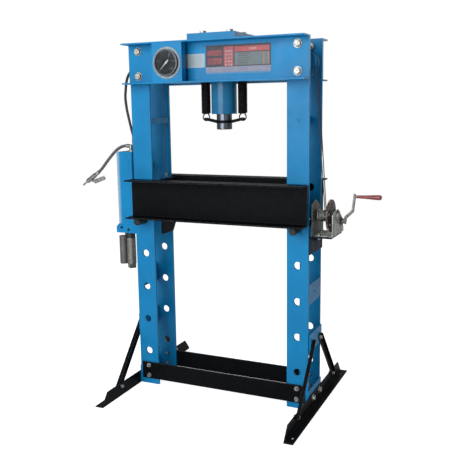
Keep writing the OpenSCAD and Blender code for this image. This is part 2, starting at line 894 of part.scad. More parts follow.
// An open can with a lip at its front and a boss for the pointer's shaft at its back
module gauge_case() {
  color(black) difference() {
    rod_y(gauge_front, gauge_back, -gauge_x, gauge_height, gauge_d);
    rod_y(gauge_front - 1, gauge_front + 6, -gauge_x, gauge_height, gauge_d - 2 * gauge_wall - 2 * gauge_lip);
    difference() {
      rod_y(gauge_front + 3, gauge_back - gauge_wall, -gauge_x, gauge_height, gauge_d - 2 * gauge_wall);
      rod_y(dial_y + 8, gauge_back, -gauge_x, gauge_height, 30);
    }
    rod_y(dial_y, gauge_back - gauge_wall - 4, -gauge_x, gauge_height, pointer_shaft_d + 2 * running);
  }
}

module gauge_dial() {
  color(black) difference() {
    rod_y(dial_y, dial_y + dial_t, -gauge_x, gauge_height, gauge_d - 2 * gauge_wall - 2 * running);
    rod_y(dial_y - 1, dial_y + dial_t + 1, -gauge_x, gauge_height, pointer_shaft_d + 2);
  }
}

// The pointer stands at zero, low on the left, and its shaft runs back into the case's boss
module gauge_pointer() {
  color("white") translate([-gauge_x, 0, gauge_height]) {
    along_y(pointer_y, pointer_y + pointer_t) rotate(pointer_rest) {
      polygon([
        [-pointer_tail, -3], [0, -1.6], [pointer_len, -0.6], [pointer_len, 0.6], [0, 1.6], [-pointer_tail, 3]
      ]);
      circle(r = 5);
    }
    rod_y(pointer_y, dial_y + 26, 0, 0, pointer_shaft_d);
  }
}

// ---------- bed ----------

module bed_channel() {
  color(black) translate([0, bed_gap / 2, bed_z]) along_x(-frame_w / 2, frame_w / 2) channel_section();
}

module bed_rear() bed_channel();
module bed_front() mirror([0, 1, 0]) bed_channel();

// Plates between the channels that guide the bed on the uprights and reach down at the rear
module bed_guides() {
  half = bed_gap / 2;
  foot_z = bed_z - guide_below;
  front_z = bed_z - guide_front_below;
  color(black) both_sides() along_x(guide_x - guide_t, guide_x) polygon([
    [-half, front_z], [-guide_front_y, front_z], [-guide_front_y, foot_z],
    [half - guide_slant_y, foot_z], [half, foot_z + guide_slant_z],
    [half, bed_z + channel_h - guide_top], [-half, bed_z + channel_h - guide_top]
  ]);
}

module bed_pin() {
  color(black) translate([bar_x, -pin_len / 2, bed_pin_z]) rotate([-90, 0, 0]) rotate_extrude() polygon([
    [0, 0], [pin_d / 2 - pin_chamfer, 0], [pin_d / 2, pin_chamfer], [pin_d / 2, pin_len - pin_chamfer],
    [pin_d / 2 - pin_chamfer, pin_len], [0, pin_len]
  ]);
}

module bed_pin_right() bed_pin();
module bed_pin_left() mirror([1, 0, 0]) bed_pin();

// ---------- ropes and sheaves ----------

// A lug on a guide plate, and the rope's eye through it with its ferrule
module rope_hook(y) {
  translate([0, y, 0]) {
    color(black) along_y(-lug_t / 2, lug_t / 2) difference() {
      translate([guide_x, lug_hole_z - 14]) square([drop_gap + 14, 14 + lug_hole_r + 6]);
      translate([drop_x, lug_hole_z]) circle(r = lug_hole_r);
    }
    color(steel) translate([drop_x, 0, 0]) {
      translate([0, 0, eye_z]) rotate([0, 0, 90]) wire_ring(eye_r, eye_wire);
      translate([0, 0, ferrule_z]) cylinder(d = ferrule_d, h = ferrule_h);
    }
  }
}

module rope_hooks() {
  rope_hook(short_rope_y);
  mirror([1, 0, 0]) rope_hook(long_rope_y);
}

module rope_drop(y) {
  z0 = ferrule_z + ferrule_h;
  color(steel) translate([drop_x, y, z0]) cylinder(d = rope_d, h = sheave_height - seat_gap - z0);
}

module rope_drop_right() rope_drop(short_rope_y);
module rope_drop_left() mirror([1, 0, 0]) rope_drop(long_rope_y);

// Points of a rope on a sheave at x, from angle a0 to a1, where 0 is the sheave's right side
function rope_turn(x, y, a0, a1) = [
  for (a = [a0 : rope_step : a1]) [x + sheave_r * cos(a), y, sheave_height + sheave_r * sin(a)]
];

// The still part of the ropes: up from the drum, over the sheaves and round the barrel
module lifting_rope() {
  crest = sheave_height + sheave_r;
  short_start = [rope_start_x, rope_start_y, winch_z];
  long_start = short_start + [rope_d + 1, 0, 0];
  short_rope = concat([short_start], rope_turn(right_sheave_x, short_rope_y, rope_step, 180));
  long_rope = concat(
    [long_start], rope_turn(right_sheave_x, long_rope_y, rope_step, 90),
    [[horn_half, horn_rope_y, crest], [-horn_half, horn_rope_y, crest]],
    rope_turn(left_sheave_x, long_rope_y, 90, 180)
  );
  color(steel) {
    swept(short_rope, rope_d, 12);
    swept(long_rope, rope_d, 12);
  }
}

// A hub with one grooved disc for each rope that runs over it
module sheave(x, rope_ys) {
  groove_r = rope_d / 2 + groove_play;
  mouth = 2 * sheave_rim;
  mouth_r = groove_r + mouth * tan(groove_flare);
  front = min(rope_ys) - sheave_w / 2;
  back = max(rope_ys) + sheave_w / 2;
  color(blue) difference() {
    union() {
      rod_y(front, back, x, sheave_height, sheave_hub_d);
      for (y = rope_ys)
        rod_y(y - sheave_w / 2, y + sheave_w / 2, x, sheave_height, 2 * (sheave_r + sheave_rim));
    }
    rod_y(front - 1, back + 1, x, sheave_height, axle_d + 2 * running);
    for (y = rope_ys) translate([x, y, sheave_height]) rotate([90, 0, 0]) rotate_extrude()
      translate([sheave_r, 0]) {
        circle(r = groove_r);
        polygon([[0, -groove_r], [mouth, -mouth_r], [mouth, mouth_r], [0, groove_r]]);
      }
    for (i = [0 : 4]) translate([x, 0, sheave_height]) rotate([0, 72 * i, 0])
      rod_y(front - 1, back + 1, sheave_r * sheave_hole_at, 0, sheave_r / 3);
  }
}

module sheave_right() sheave(right_sheave_x, [short_rope_y, long_rope_y]);
module sheave_left() sheave(left_sheave_x, [long_rope_y]);

// An axle with collars from the sheave's hub to what holds it, which is reach from the middle
module sheave_axle(x, rope_ys, reach) {
  rod_y(-reach, reach, x, sheave_height, axle_d);
  rod_y(-reach, min(rope_ys) - sheave_w / 2 - seat_gap, x, sheave_height, collar_d);
  rod_y(max(rope_ys) + sheave_w / 2 + seat_gap, reach, x, sheave_height, collar_d);
}

// The right axle is held by the bars, and the left one by the beams' webs
module sheave_axles() {
  color(zinc) {
    sheave_axle(right_sheave_x, [short_rope_y, long_rope_y], inner_y);
    sheave_axle(left_sheave_x, [long_rope_y], bar_y);
  }
}

// ---------- winch ----------

winch_front_y = -82;
winch_rear_y = pinion_y + 24;
winch_bolt_places = [[winch_left + 24, -48], [winch_left + 24, 56]];

module winch_bracket() {
  color(black) difference() {
    union() {
      box([frame_w / 2, -bar_y, shelf_z - shelf_plate_h], [winch_x - 1, bar_y, shelf_z + shelf_t]);
      box([frame_w / 2, winch_front_y, shelf_z], [winch_right + winch_t, winch_rear_y, shelf_z + shelf_t]);
      both_faces() along_y(gusset_y, gusset_y + shelf_t)
        polygon([[winch_x - 1, shelf_z - gusset_h], [winch_x + gusset_w, shelf_z], [winch_x - 1, shelf_z]]);
    }
    for (p = winch_bolt_places) translate([p[0], p[1], shelf_z - 1])
      cylinder(d = small_bolt_d + bolt_slack, h = shelf_t + 2);
  }
}

// Two side plates on a floor plate, the drum's fixed shaft and the pawl's stud
module winch_frame() {
  floor_z = winch_floor - winch_t;
  color(winch_grey) {
    difference() {
      union() {
        along_x(winch_x, winch_left) polygon([
          [winch_front_y, floor_z], [winch_front_y, winch_z + 61], [-27, winch_z + 80], [32, winch_z + 55],
          [66, winch_z + 20], [winch_rear_y, pinion_z + 16], [winch_rear_y, floor_z]
        ]);
        along_x(winch_right, winch_right + winch_t) polygon([
          [winch_front_y + 20, floor_z], [winch_front_y + 20, winch_z + 13], [-16, winch_z + 28],
          [40, winch_z + 28], [winch_rear_y, pinion_z + 18], [winch_rear_y + 32, winch_floor + 12],
          [winch_rear_y + 32, floor_z]
        ]);
        box([winch_x, winch_front_y + 20, floor_z], [winch_right + winch_t, winch_rear_y, winch_floor]);
      }
      rod_x(winch_x - 1, winch_right + winch_t + 1, pinion_y, pinion_z, pinion_shaft_d + 2 * running);
      for (p = winch_bolt_places) translate([p[0], p[1], floor_z - 1])
        cylinder(d = small_bolt_d + bolt_slack, h = winch_t + 2);
    }
    rod_x(winch_x - 4, winch_right + winch_t + 8, 0, winch_z, drum_shaft_d);
    translate([winch_right + winch_t + head_t(drum_shaft_d), 0, winch_z]) rotate([0, -90, 0])
      hex(drum_shaft_d, head_t(drum_shaft_d));
    rod_x(winch_right, ratchet_x + ratchet_t + 3, pawl_y, pawl_z, pawl_pin_d);
    rod_x(winch_right + winch_t, ratchet_x - seat_gap, pawl_y, pawl_z, pawl_pin_d + 6);
  }
}

// The drum turns on the fixed shaft, with its turns of rope beside its flange
module winch_drum() {
  bore = drum_shaft_d + 2 * running;
  color(winch_grey) difference() {
    union() {
      rod_x(drum_x, gear_x, 0, winch_z, drum_d);
      rod_x(drum_flange_x, drum_flange_x + 3, 0, winch_z, drum_flange_d);
    }
    rod_x(drum_x - 1, gear_x + 1, 0, winch_z, bore);
  }
  color(steel) translate([wrap_x, 0, winch_z]) rotate([0, 90, 0]) rotate_extrude() difference() {
    union() {
      for (i = [0 : wrap_count - 1]) translate([(drum_d + rope_d) / 2, i * rope_d]) circle(d = rope_d);
      translate([drum_d / 2 + running, 0]) square([rope_d / 2, (wrap_count - 1) * rope_d]);
    }
    translate([0, -rope_d]) square([drum_d / 2 + running, (wrap_count + 1) * rope_d]);
  }
}

// Involute teeth: inv is the involute of an angle, in degrees
function inv(a) = tan(a) * 180 / PI - a;
function half_tooth(r, pitch_r, teeth) =
  let (base_r = pitch_r * cos(pressure_angle))
  90 / teeth - tooth_play / (4 * pitch_r) * 180 / PI
  + inv(pressure_angle) - inv(acos(min(1, base_r / max(r, base_r))));
function polar(r, a) = [r * cos(a), r * sin(a)];

module gear_outline(teeth, root_r, tip_r, phase) {
  pitch_r = gear_module * teeth / 2;
  radii = [for (k = [0 : 4]) root_r + (tip_r - root_r) * k / 4];
  polygon([
    for (i = [0 : teeth - 1]) let (a = phase + i * 360 / teeth)
      each concat(
        [for (k = [0 : 4]) polar(radii[k], a - half_tooth(radii[k], pitch_r, teeth))],
        [for (k = [4 : -1 : 0]) polar(radii[k], a + half_tooth(radii[k], pitch_r, teeth))]
      )
  ]);
}

gear_tip_r = gear_r + 0.8 * gear_module;
pinion_tip_r = pinion_r + 0.8 * gear_module;
gear_root_r = gear_r - 1.1 * gear_module;
pinion_root_r = pinion_r - 1.05 * gear_module;

module drum_gear() {
  color(winch_grey) translate([0, 0, winch_z]) along_x(gear_x, gear_x + gear_w) difference() {
    gear_outline(gear_teeth, gear_root_r, gear_tip_r, pinion_angle);
    circle(d = drum_shaft_d + 2 * running);
    for (i = [0 : 4]) rotate(72 * i + 20) translate([gear_r * 0.62, 0]) circle(r = gear_r * 0.17);
  }
}

// Pinion and ratchet on one shaft, the ratchet with sloped teeth
module pinion_shaft() {
  color(steel) translate([0, pinion_y, pinion_z]) {
    rod_x(winch_x - 5, hub_x + hub_w, 0, 0, pinion_shaft_d);
    along_x(gear_x - 2, gear_x + gear_w + 2) gear_outline(
      pinion_teeth, pinion_root_r, pinion_tip_r, pinion_angle + 180 + 180 / pinion_teeth
    );
    along_x(ratchet_x, ratchet_x + ratchet_t) polygon([
      for (i = [0 : ratchet_teeth - 1]) each [
        polar(ratchet_r - ratchet_step, (i + 0.08) * 360 / ratchet_teeth),
        polar(ratchet_r, (i + 0.92) * 360 / ratchet_teeth),
        polar(ratchet_r - ratchet_step, (i + 1) * 360 / ratchet_teeth)
      ]
    ]);
  }
}

// Hub, cranked flat arm and the grip's spindle
module crank_arm() {
  x0 = hub_x + hub_w - arm_t;
  color(zinc) {
    translate([0, pinion_y, pinion_z]) difference() {
      union() {
        rod_x(hub_x, hub_x + hub_w, 0, 0, pinion_shaft_d + 12);
        rotate([crank_angle, 0, 0]) translate([0, 0, -arm_w / 2]) linear_extrude(arm_w) polygon([
          [x0, -arm_w / 2], [x0, arm_w / 2 + 8], [x0 + arm_jog, arm_w / 2 + 44],
          [x0 + arm_jog, crank_len + arm_w / 2], [x0 + arm_jog + arm_t, crank_len + arm_w / 2],
          [x0 + arm_jog + arm_t, arm_w / 2 + 42], [x0 + arm_t, arm_w / 2 + 6], [x0 + arm_t, -arm_w / 2]
        ]);
      }
      rod_x(hub_x - 1, hub_x + hub_w + 1, 0, 0, pinion_shaft_d + running);
    }
    rod_x(arm_out_x, grip_x + grip_len + 2, crank_y, crank_z, spindle_d);
    rod_x(grip_x + grip_len + 0.5, grip_x + grip_len + 3, crank_y, crank_z, spindle_d + 6);
    rod_x(arm_out_x + arm_t, grip_x - 0.5, crank_y, crank_z, spindle_d + 4);
  }
}

// A tapered grip that spins on its spindle
module crank_grip() {
  color("firebrick") translate([grip_x, crank_y, crank_z]) rotate([0, 90, 0]) rotate_extrude() polygon([
    [spindle_d / 2 + running, 0], [grip_thin / 2 - 1, 0], [grip_thin / 2, 1.5],
    [grip_thin / 2 + 1, grip_len * 0.3], [grip_thick / 2 - 1, grip_len * 0.7],
    [grip_thick / 2, grip_len * 0.85], [grip_thick / 2, grip_len - 3],
    [grip_thick / 2 - 3, grip_len], [spindle_d / 2 + running, grip_len]
  ]);
}

// The pawl rests just clear of the ratchet, along the line between their axes
module winch_pawl() {
  reach = norm([pinion_y - pawl_y, pinion_z - pawl_z]) - ratchet_r - 0.6;
  aim = atan2(pinion_z - pawl_z, pinion_y - pawl_y);
  color(zinc) translate([0, pawl_y, pawl_z]) along_x(ratchet_x, ratchet_x + ratchet_t) rotate(aim)
    difference() {
      union() {
        polygon([
          [-pawl_tail, -3], [0, 1 - pawl_r], [reach, -2], [reach, 2], [0, pawl_r - 1], [-pawl_tail, 3]
        ]);
        circle(r = pawl_r);
      }
      circle(d = pawl_pin_d + 2 * running);
    }
}

// ---------- pump ----------

base_screw_places = [[tank_x0 + 20, pump_z + base_h - 22], [tank_x0 + 63, pump_z + base_h - 33]];

// Straps from the rear bar to the tank's side
module pump_bracket() {
  color(black) for (z = [tank_z + strap_low, tank_top - strap_high])
    box([tank_x1, strap_y, z], [-frame_w / 2, bar_y, z + strap_h]);
}

module pump_tank() {
  color(blue) translate([tank_x0, -tank_d / 2, tank_z]) difference() {
    linear_extrude(tank_h) rounded_square([tank_w, tank_d], tank_r);
    translate([tank_wall, tank_wall, tank_wall]) linear_extrude(tank_h - 2 * tank_wall)
      rounded_square([tank_w - 2 * tank_wall, tank_d - 2 * tank_wall], tank_r - tank_wall);
  }
}

// Base block with one corner cut, bored for the release valve at the rear
module pump_base() {
  x0 = tank_x0 - base_out;
  x1 = tank_x1 + base_reach;
  color(blue) difference() {
    along_y(-tank_d / 2, tank_d / 2) polygon([
      [x0, pump_z], [x1, pump_z], [x1, tank_z],
      [x0 + base_chamfer, tank_z], [x0, tank_z - base_chamfer]
    ]);
    rod_y(tank_d / 2 - knob_stem_in - 1, tank_d / 2 + 1, knob_x, knob_z, knob_stem_d + 2 * running);
    for (p = base_screw_places)
      rod_y(-tank_d / 2 - 1, 12 - tank_d / 2, p[0], p[1], small_bolt_d + bolt_slack);
  }
}

module pump_barrel() {
  top = pump_z - pump_barrel_drop;
  color(winch_grey) translate([pump_barrel_x, motor_y, 0]) {
    translate([0, 0, top - motor_len - pump_barrel_over])
      cylinder(d = pump_barrel_d, h = motor_len + pump_barrel_over);
    translate([pump_neck[0], pump_neck[1], top - 1]) cylinder(d = pump_neck_d, h = pump_barrel_drop + 1);
  }
}

// Barrel, cap and square foot of the air motor
module air_motor() {
  translate([motor_x, motor_y, motor_top - motor_len]) {
    color(zinc) cylinder(d = motor_d, h = motor_len);
    color(black) translate([0, 0, motor_len]) cylinder(d = motor_d - 2, h = motor_cap_h);
    color(zinc) rotate(motor_foot_turn) translate([-motor_foot_w / 2, -motor_foot_w / 2, -motor_foot_h])
      cube([motor_foot_w, motor_foot_w, motor_foot_h]);
  }
}

module release_knob() {
  color(black) difference() {
    union() {
      rod_y(tank_d / 2 - knob_stem_in, tank_d / 2 + 8, knob_x, knob_z, knob_stem_d);
      rod_y(tank_d / 2 + 4, tank_d / 2 + 20, knob_x, knob_z, knob_d);
    }
    for (i = [0 : 7]) translate([knob_x, 0, knob_z]) rotate([0, 45 * i, 0])
      rod_y(tank_d / 2 + 3, tank_d / 2 + 21, knob_d / 2 + 1, 0, 5);
  }
}

// ---------- hoses ----------

// The gauge's line to the barrel, the cylinder's nipple, and the two fittings on the tank
module hose_fittings() {
  color(zinc) {
    difference() {
      union() {
        rod_y(gauge_back, gauge_line_y, -gauge_x, gauge_height, gauge_line_d);
        translate([-gauge_x, gauge_line_y, gauge_height]) sphere(d = gauge_line_d);
        rod_x(-gauge_x, 0, gauge_line_y, gauge_height, gauge_line_d);
      }
      translate([0, 0, beam_z]) cylinder(d = barrel_d, h = channel_h);
    }
    rod_x(port_x, -barrel_d / 2 - 16, port_y, port_z, oil_hose_d + 3);
    translate([oil_port_x, oil_port_y, tank_top]) {
      hex(16, 14);
      cylinder(d = oil_hose_d + 3, h = port_rise);
    }
    translate([air_port_x, air_port_y, tank_top]) {
      hex(14, 12);
      cylinder(d = air_hose_d + 1, h = air_rise);
      translate([0, 0, air_rise]) sphere(d = air_hose_d + 1);
      rod_x(air_route[0][0] - air_port_x, 0, 0, air_rise, air_hose_d + 1);
    }
  }
}

module hydraulic_hose() color(black) swept(spline(oil_route, 2), oil_hose_d, 12);
module air_hose() color(black) swept(spline(air_route, 1), air_hose_d, 12);

// What lies along the valve's axis, drawn along +Z from the hose's end
module at_valve() {
  translate(valve_start) rotate([0, -90 - valve_angle, 0]) children();
}

module air_valve() {
  color(zinc) at_valve() {
    hex(13, 14);
    translate([0, 0, 10]) cylinder(d = valve_d, h = valve_len - 18);
    translate([0, 0, valve_len - 10]) hex(12, 10);
    translate([0, 0, valve_len]) cylinder(d = 9, h = nipple_len);
    both_faces() along_y(lever_w / 2 + 0.5, lever_w / 2 + 3)
      translate([-lever_pivot_x - 5, lever_along - 6]) square([10, 12]);
    rod_y(-lever_w / 2 - 4, lever_w / 2 + 4, -lever_pivot_x, lever_along, lever_pin_d);
  }
}

// The lever's side view, where +X runs back towards the hose and +Y towards the valve
module at_lever() {
  translate([-lever_pivot_x, lever_along]) rotate(270 - lever_lean) children();
}

// A folded channel, open towards the valve
module valve_lever() {
  color(zinc) at_valve() difference() {
    along_y(-lever_w / 2, lever_w / 2) at_lever() {
      circle(r = lever_eye_r);
      polygon([
        [0, lever_eye_r], [lever_len, lever_t / 2], [lever_len + lever_t, -lever_depth / 2],
        [lever_len - lever_t, -lever_depth], [lever_depth / 2, -lever_depth], [-lever_eye_r, 0]
      ]);
    }
    along_y(lever_wall - lever_w / 2, lever_w / 2 - lever_wall) at_lever()
      translate([-2 * lever_eye_r, lever_wall - lever_depth])
        square([lever_len + lever_eye_r, lever_depth + 2 * lever_eye_r]);
    along_y(-lever_w, lever_w) at_lever() circle(d = lever_pin_d + 2 * running);
  }
}

// ---------- assembly ----------

upright_front_left();
upright_rear_left();
upright_front_right();
upright_rear_right();
upright_spacers();
side_plates();
foot_left();
foot_right();
braces_left();
braces_right();
crossbar_front();
crossbar_rear();
beam_front();
beam_rear();
head_plate();
head_bolts();
frame_bolts();
press_cylinder();
piston();
ram_rod();
spring_yoke();
return_spring_left();
return_spring_right();
label_plates();
gauge_panel();
gauge_ring();
gauge_case();
gauge_dial();
gauge_pointer();
bed_front();
bed_rear();
bed_guides();
bed_pin_left();
bed_pin_right();
rope_hooks();
rope_drop_left();
rope_drop_right();
lifting_rope();
sheave_left();
sheave_right();
sheave_axles();
winch_bracket();
winch_frame();
winch_drum();
drum_gear();
pinion_shaft();
crank_arm();
crank_grip();
winch_pawl();
pump_bracket();
pump_tank();
pump_base();
pump_barrel();
air_motor();
release_knob();
hose_fittings();
hydraulic_hose();
air_hose();
air_valve();
valve_lever();
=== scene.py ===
# %% [markdown]
# # An air-hydraulic shop press
#
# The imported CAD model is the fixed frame, and every cell below adds one thing around it: the camera, the
# finishes, the hoses, and then the other pieces that a mesh shows better than a solid does. Lengths are in
# metres, or in millimetres times MM. X points to the right, Y to the rear and Z up, and the origin is on the
# floor, in the middle of the four anchor holes.

# %% Load the frame
import json
import math

import bpy
import numpy as np
from mathutils import Matrix, Vector


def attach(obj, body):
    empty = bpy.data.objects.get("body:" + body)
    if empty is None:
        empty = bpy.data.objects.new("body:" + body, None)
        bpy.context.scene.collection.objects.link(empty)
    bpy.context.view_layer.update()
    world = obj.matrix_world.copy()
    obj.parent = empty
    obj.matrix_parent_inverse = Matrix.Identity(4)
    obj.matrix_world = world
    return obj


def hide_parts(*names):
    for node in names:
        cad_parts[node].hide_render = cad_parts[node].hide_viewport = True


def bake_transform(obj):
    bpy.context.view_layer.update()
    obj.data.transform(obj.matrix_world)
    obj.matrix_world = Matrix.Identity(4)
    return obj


MM = 0.001
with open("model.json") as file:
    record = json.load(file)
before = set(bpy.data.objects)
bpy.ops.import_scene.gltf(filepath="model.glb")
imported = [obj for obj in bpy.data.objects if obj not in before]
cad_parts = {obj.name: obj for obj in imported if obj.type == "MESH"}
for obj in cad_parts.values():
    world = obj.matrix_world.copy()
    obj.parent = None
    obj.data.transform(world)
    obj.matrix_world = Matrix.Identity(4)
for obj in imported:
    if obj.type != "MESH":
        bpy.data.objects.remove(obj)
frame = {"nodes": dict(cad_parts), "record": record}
cad = frame["nodes"]
scene = bpy.context.scene
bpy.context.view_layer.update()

# %% [markdown]
# ## The camera
#
# A press is looked at by someone who stands in front of it, a little to the right. The camera is at standing
# height, so the head is seen from slightly below its top and the bed from above. Its three axes are worked
# out from the angles and become the columns of its matrix, which keeps the small roll exact.

# %% Camera
CAMERA_PLACE = (1.4620, -3.2020, 1.4945)
YAW, PITCH, ROLL = 0.4240, -0.1746, -0.0142  # radians: turned left, tipped down and barely rolled
LENS, SENSOR_WIDTH = 54.13, 36  # mm

ahead = Vector((-math.sin(YAW) * math.cos(PITCH), math.cos(YAW) * math.cos(PITCH), math.sin(PITCH)))
level = Vector((math.cos(YAW), math.sin(YAW), 0))
right = math.cos(ROLL) * level + math.sin(ROLL) * level.cross(ahead)
up = right.cross(ahead)
lens = bpy.data.cameras.new("camera")
lens.lens, lens.sensor_width = LENS, SENSOR_WIDTH
camera = bpy.data.objects.new("camera", lens)
camera.matrix_world = Matrix.Translation(CAMERA_PLACE) @ Matrix((right, up, -ahead)).transposed().to_4x4()
scene.collection.objects.link(camera)
scene.camera = camera
scene.view_settings.view_transform = "Standard"
print("camera looks along", tuple(round(a, 3) for a in ahead))

# %% [markdown]
# ## Shader nodes
#
# A finish is a small tree of shader nodes, worked out in the object's own coordinates, so that a pattern has
# the same size on a bolt as on a beam. One helper is enough to build it: `add` makes a node, sets it and
# fills its sockets, where an output makes a link and anything else is written in. Colours are written in
# sRGB, as on a paint card, and `linear` turns them into amounts of light. Two kinds of node have their
# sockets filled by number. For Mix, 0, 6 and 7 are the share and the two colours. For MapRange, 0 is the
# value, 1 and 2 are the range it comes from, and 3 and 4 the range it goes to.

# %% Shader helpers
COLOURS = {"out": 2, "data_type": "RGBA"}


def linear(code):
    """An sRGB hex colour as the linear one that a shader wants."""
    share = np.array([int(code[i:i + 2], 16) / 255 for i in (1, 3, 5)])
    return [*np.where(share <= 0.04045, share / 12.92, ((share + 0.055) / 1.055) ** 2.4), 1.0]


def fill(tree, node, sockets):
    """Link each socket to the output given for it, or write the number, vector or colour into it."""
    for key, value in sockets.items():
        if isinstance(value, bpy.types.NodeSocket):
            tree.links.new(value, node.inputs[key])
        else:
            node.inputs[key].default_value = value


def add(tree, kind, sockets=None, out=0, **settings):
    """One shader node with its settings and sockets, and the output asked for."""
    node = tree.nodes.new("ShaderNode" + kind)
    for name, value in settings.items():
        setattr(node, name, value)
    fill(tree, node, sockets or {})
    return node.outputs[out]


def finish(name, recipe):
    """A material whose Principled BSDF is filled with what the recipe returns for its tree."""
    material = bpy.data.materials.new(name)
    material.use_nodes = True
    tree = material.node_tree
    fill(tree, tree.nodes["Principled BSDF"], recipe(tree))
    return material


# %% [markdown]
# ## Patches, rubbed edges and relief
#
# Three things set a real surface apart from a plain colour. Its tone and its gloss drift in soft patches,
# which is noise stretched to a range. Its outer edges are rubbed: they could be picked out by hand, but a
# rounded normal finds them all, as it leans off the flat one only near an edge. And its height varies a
# little, which a bump shows without more geometry, on a normal that rounds every sharp corner as well.

# %% Patterns that the finishes share
def patches(tree, size, low=0.0, high=1.0, detail=4, stretch=(1, 1, 1)):
    """Soft patches of that size in millimetres, from low to high. A small stretch makes them longer."""
    where = add(tree, "Mapping", {0: add(tree, "TexCoord", out="Object"), 3: stretch})
    cloud = add(tree, "TexNoise", {"Vector": where, "Scale": 1 / (size * MM), "Detail": detail})
    return add(tree, "MapRange", {0: cloud, 1: 0.33, 2: 0.67, 3: low, 4: high})


def worn_edges(tree, reach, amount):
    """The amount at an outer edge, fading to 0 over the reach in millimetres, and broken in patches.

    The lean is the dot product of the rounded normal and the flat one, which is 1 away from every edge."""
    rounded = add(tree, "Bevel", {0: reach * MM}, samples=4)
    flat = add(tree, "NewGeometry", out="Normal")
    lean = add(tree, "VectorMath", {0: rounded, 1: flat}, "Value", operation="DOT_PRODUCT")
    edge = add(tree, "MapRange", {0: lean, 1: 0.995, 2: 0.86, 3: 0.0, 4: amount})
    return add(tree, "Math", {0: edge, 1: patches(tree, 14, 0.2, 1.0, 6)}, operation="MULTIPLY")


def relief(tree, height, depth, edge, strength=0.2):
    """A normal that is rounded over each edge and follows a height of that depth, both in millimetres."""
    soft = add(tree, "Bevel", {0: edge * MM}, samples=4)
    bump = {"Strength": strength, "Distance": depth * MM, "Height": height, "Normal": soft}
    return add(tree, "Bump", bump)


# %% [markdown]
# ## Enamel
#
# The frame is hot-rolled steel under sprayed enamel: a light blue coat for most of it, and a black one for
# the bed and the base. The steel under it is never quite flat, and the coat dries with a fine orange peel. It
# is thin on edges, where it looks paler, and on the black the pale edges are partly a painted edge highlight.
# Peel is about 2 mm across and is drawn at 4 mm to show.

# %% Blue and black enamel
SPRAYED_BLUE = ("#0686bf", "#0676ad", "#5fa3c6", 0.34, 0.14, 0.2, 0.03)
BROAD, RUNS, FLECKS, WAVES, PEEL = 240, 90, 5, 40, 4  # across the patches of each pattern, in millimetres
UPRIGHT = (1, 1, 0.15)


def enamel(colour, shade, edge, gloss, edge_wear_and_sheen, shine, coat):
    """Colour and shade in broad patches and upright runs, then the edge colour in flecks and on the edges.

    gloss is the least roughness, edge_wear_and_sheen the most an edge shows of the edge colour, which is
    rubbed paint and on the black partly a painted edge highlight, shine the specular level, coat a varnish."""
    def recipe(tree):
        runs = patches(tree, RUNS, 0.0, 0.3, 5, UPRIGHT)
        flecks = patches(tree, FLECKS, -0.5, 0.05, 6)
        height = add(tree, "Math", {0: patches(tree, PEEL), 1: patches(tree, WAVES, 0, 2)}, operation="ADD")
        base = add(tree, "Mix", {0: patches(tree, BROAD), 6: linear(colour), 7: linear(shade)}, **COLOURS)
        base = add(tree, "Mix", {0: runs, 6: base, 7: linear(shade)}, **COLOURS)
        base = add(tree, "Mix", {0: flecks, 6: base, 7: linear(edge)}, **COLOURS)
        base = add(tree, "Mix", {0: worn_edges(tree, 1.6, edge_wear_and_sheen), 6: base, 7: linear(edge)}, **COLOURS)
        return {
            "Base Color": base,
            "Roughness": patches(tree, WAVES, gloss, gloss + 0.14),
            "Specular IOR Level": shine,
            "Coat Weight": coat,
            "Coat Roughness": 0.05,
            "Normal": relief(tree, height, 0.4, 1.2),
        }
    return recipe


# Most of the frame has the plain blue. The cylinder's is deeper and varnished, so it draws bright lines.
BLUE = finish("blue_enamel", enamel(*SPRAYED_BLUE))
GLOSS = finish("blue_gloss_enamel", enamel("#0b6b97", "#085a84", "#6fa9c8", 0.30, 0.3, 0.2, 0.3))
# The winch's bracket is a dark navy that paints in the shade falling on it,
# and the bed and the base are a semi-gloss black.
PAINTED_SHADE_NAVY = finish("painted_shade_navy_enamel", enamel("#15283c", "#0f1d2e", "#4d6680", 0.38, 0.3, 0.05, 0.0))
# The black's pale edges are partly rubbed paint and partly a painted edge highlight
BLACK = finish("black_enamel", enamel("#0d0f12", "#08090b", "#8d9298", 0.38, 0.8, 0.05, 0.0))
print("enamels:", ", ".join(coat.name for coat in (BLUE, GLOSS, PAINTED_SHADE_NAVY, BLACK)))

# %% [markdown]
# ## The tank's painted corner highlight
#
# The pump's tank stands outermost, and along its front left corner a pale band is painted in as a highlight.
# A second material mixed with the first would do it, but the highlight only changes the colour. So the recipe
# of the blue enamel is used as it is, and its colour alone is mixed once more, by the distance from the
# upright edge.

# %% Tank enamel
TANK_CORNER = (-619 * MM, -59 * MM, 0)
# The painted highlight on the tank's corner: where it is full, where it ends, and how strong it is
HIGHLIGHT_FULL, HIGHLIGHT_ENDS = 5 * MM, 25 * MM
HIGHLIGHT_SHARE = 0.85


def faded(tree):
    """The blue enamel, with a painted highlight of 0.85 up to 5 mm from the corner's edge, falling evenly to
    0 at 25 mm.
    """
    paint = enamel(*SPRAYED_BLUE)(tree)
    where = add(tree, "TexCoord", out="Object")
    apart = add(tree, "VectorMath", {0: where, 1: TANK_CORNER}, operation="SUBTRACT")
    level = add(tree, "VectorMath", {0: apart, 1: (1, 1, 0)}, operation="MULTIPLY")
    reach = add(tree, "VectorMath", {0: level}, 1, operation="LENGTH")
    painted_highlight = add(tree, "MapRange", {0: reach, 1: HIGHLIGHT_ENDS, 2: HIGHLIGHT_FULL, 3: 0.0, 4: HIGHLIGHT_SHARE})
    # a pale blue-grey painted highlight along the corner
    pale = {0: painted_highlight, 6: paint["Base Color"], 7: linear("#b4bfca")}
    return {**paint, "Base Color": add(tree, "Mix", pale, **COLOURS)}


TANK = finish("tank_enamel", faded)
print("chalk ends", HIGHLIGHT_ENDS, "m from the tank's corner")

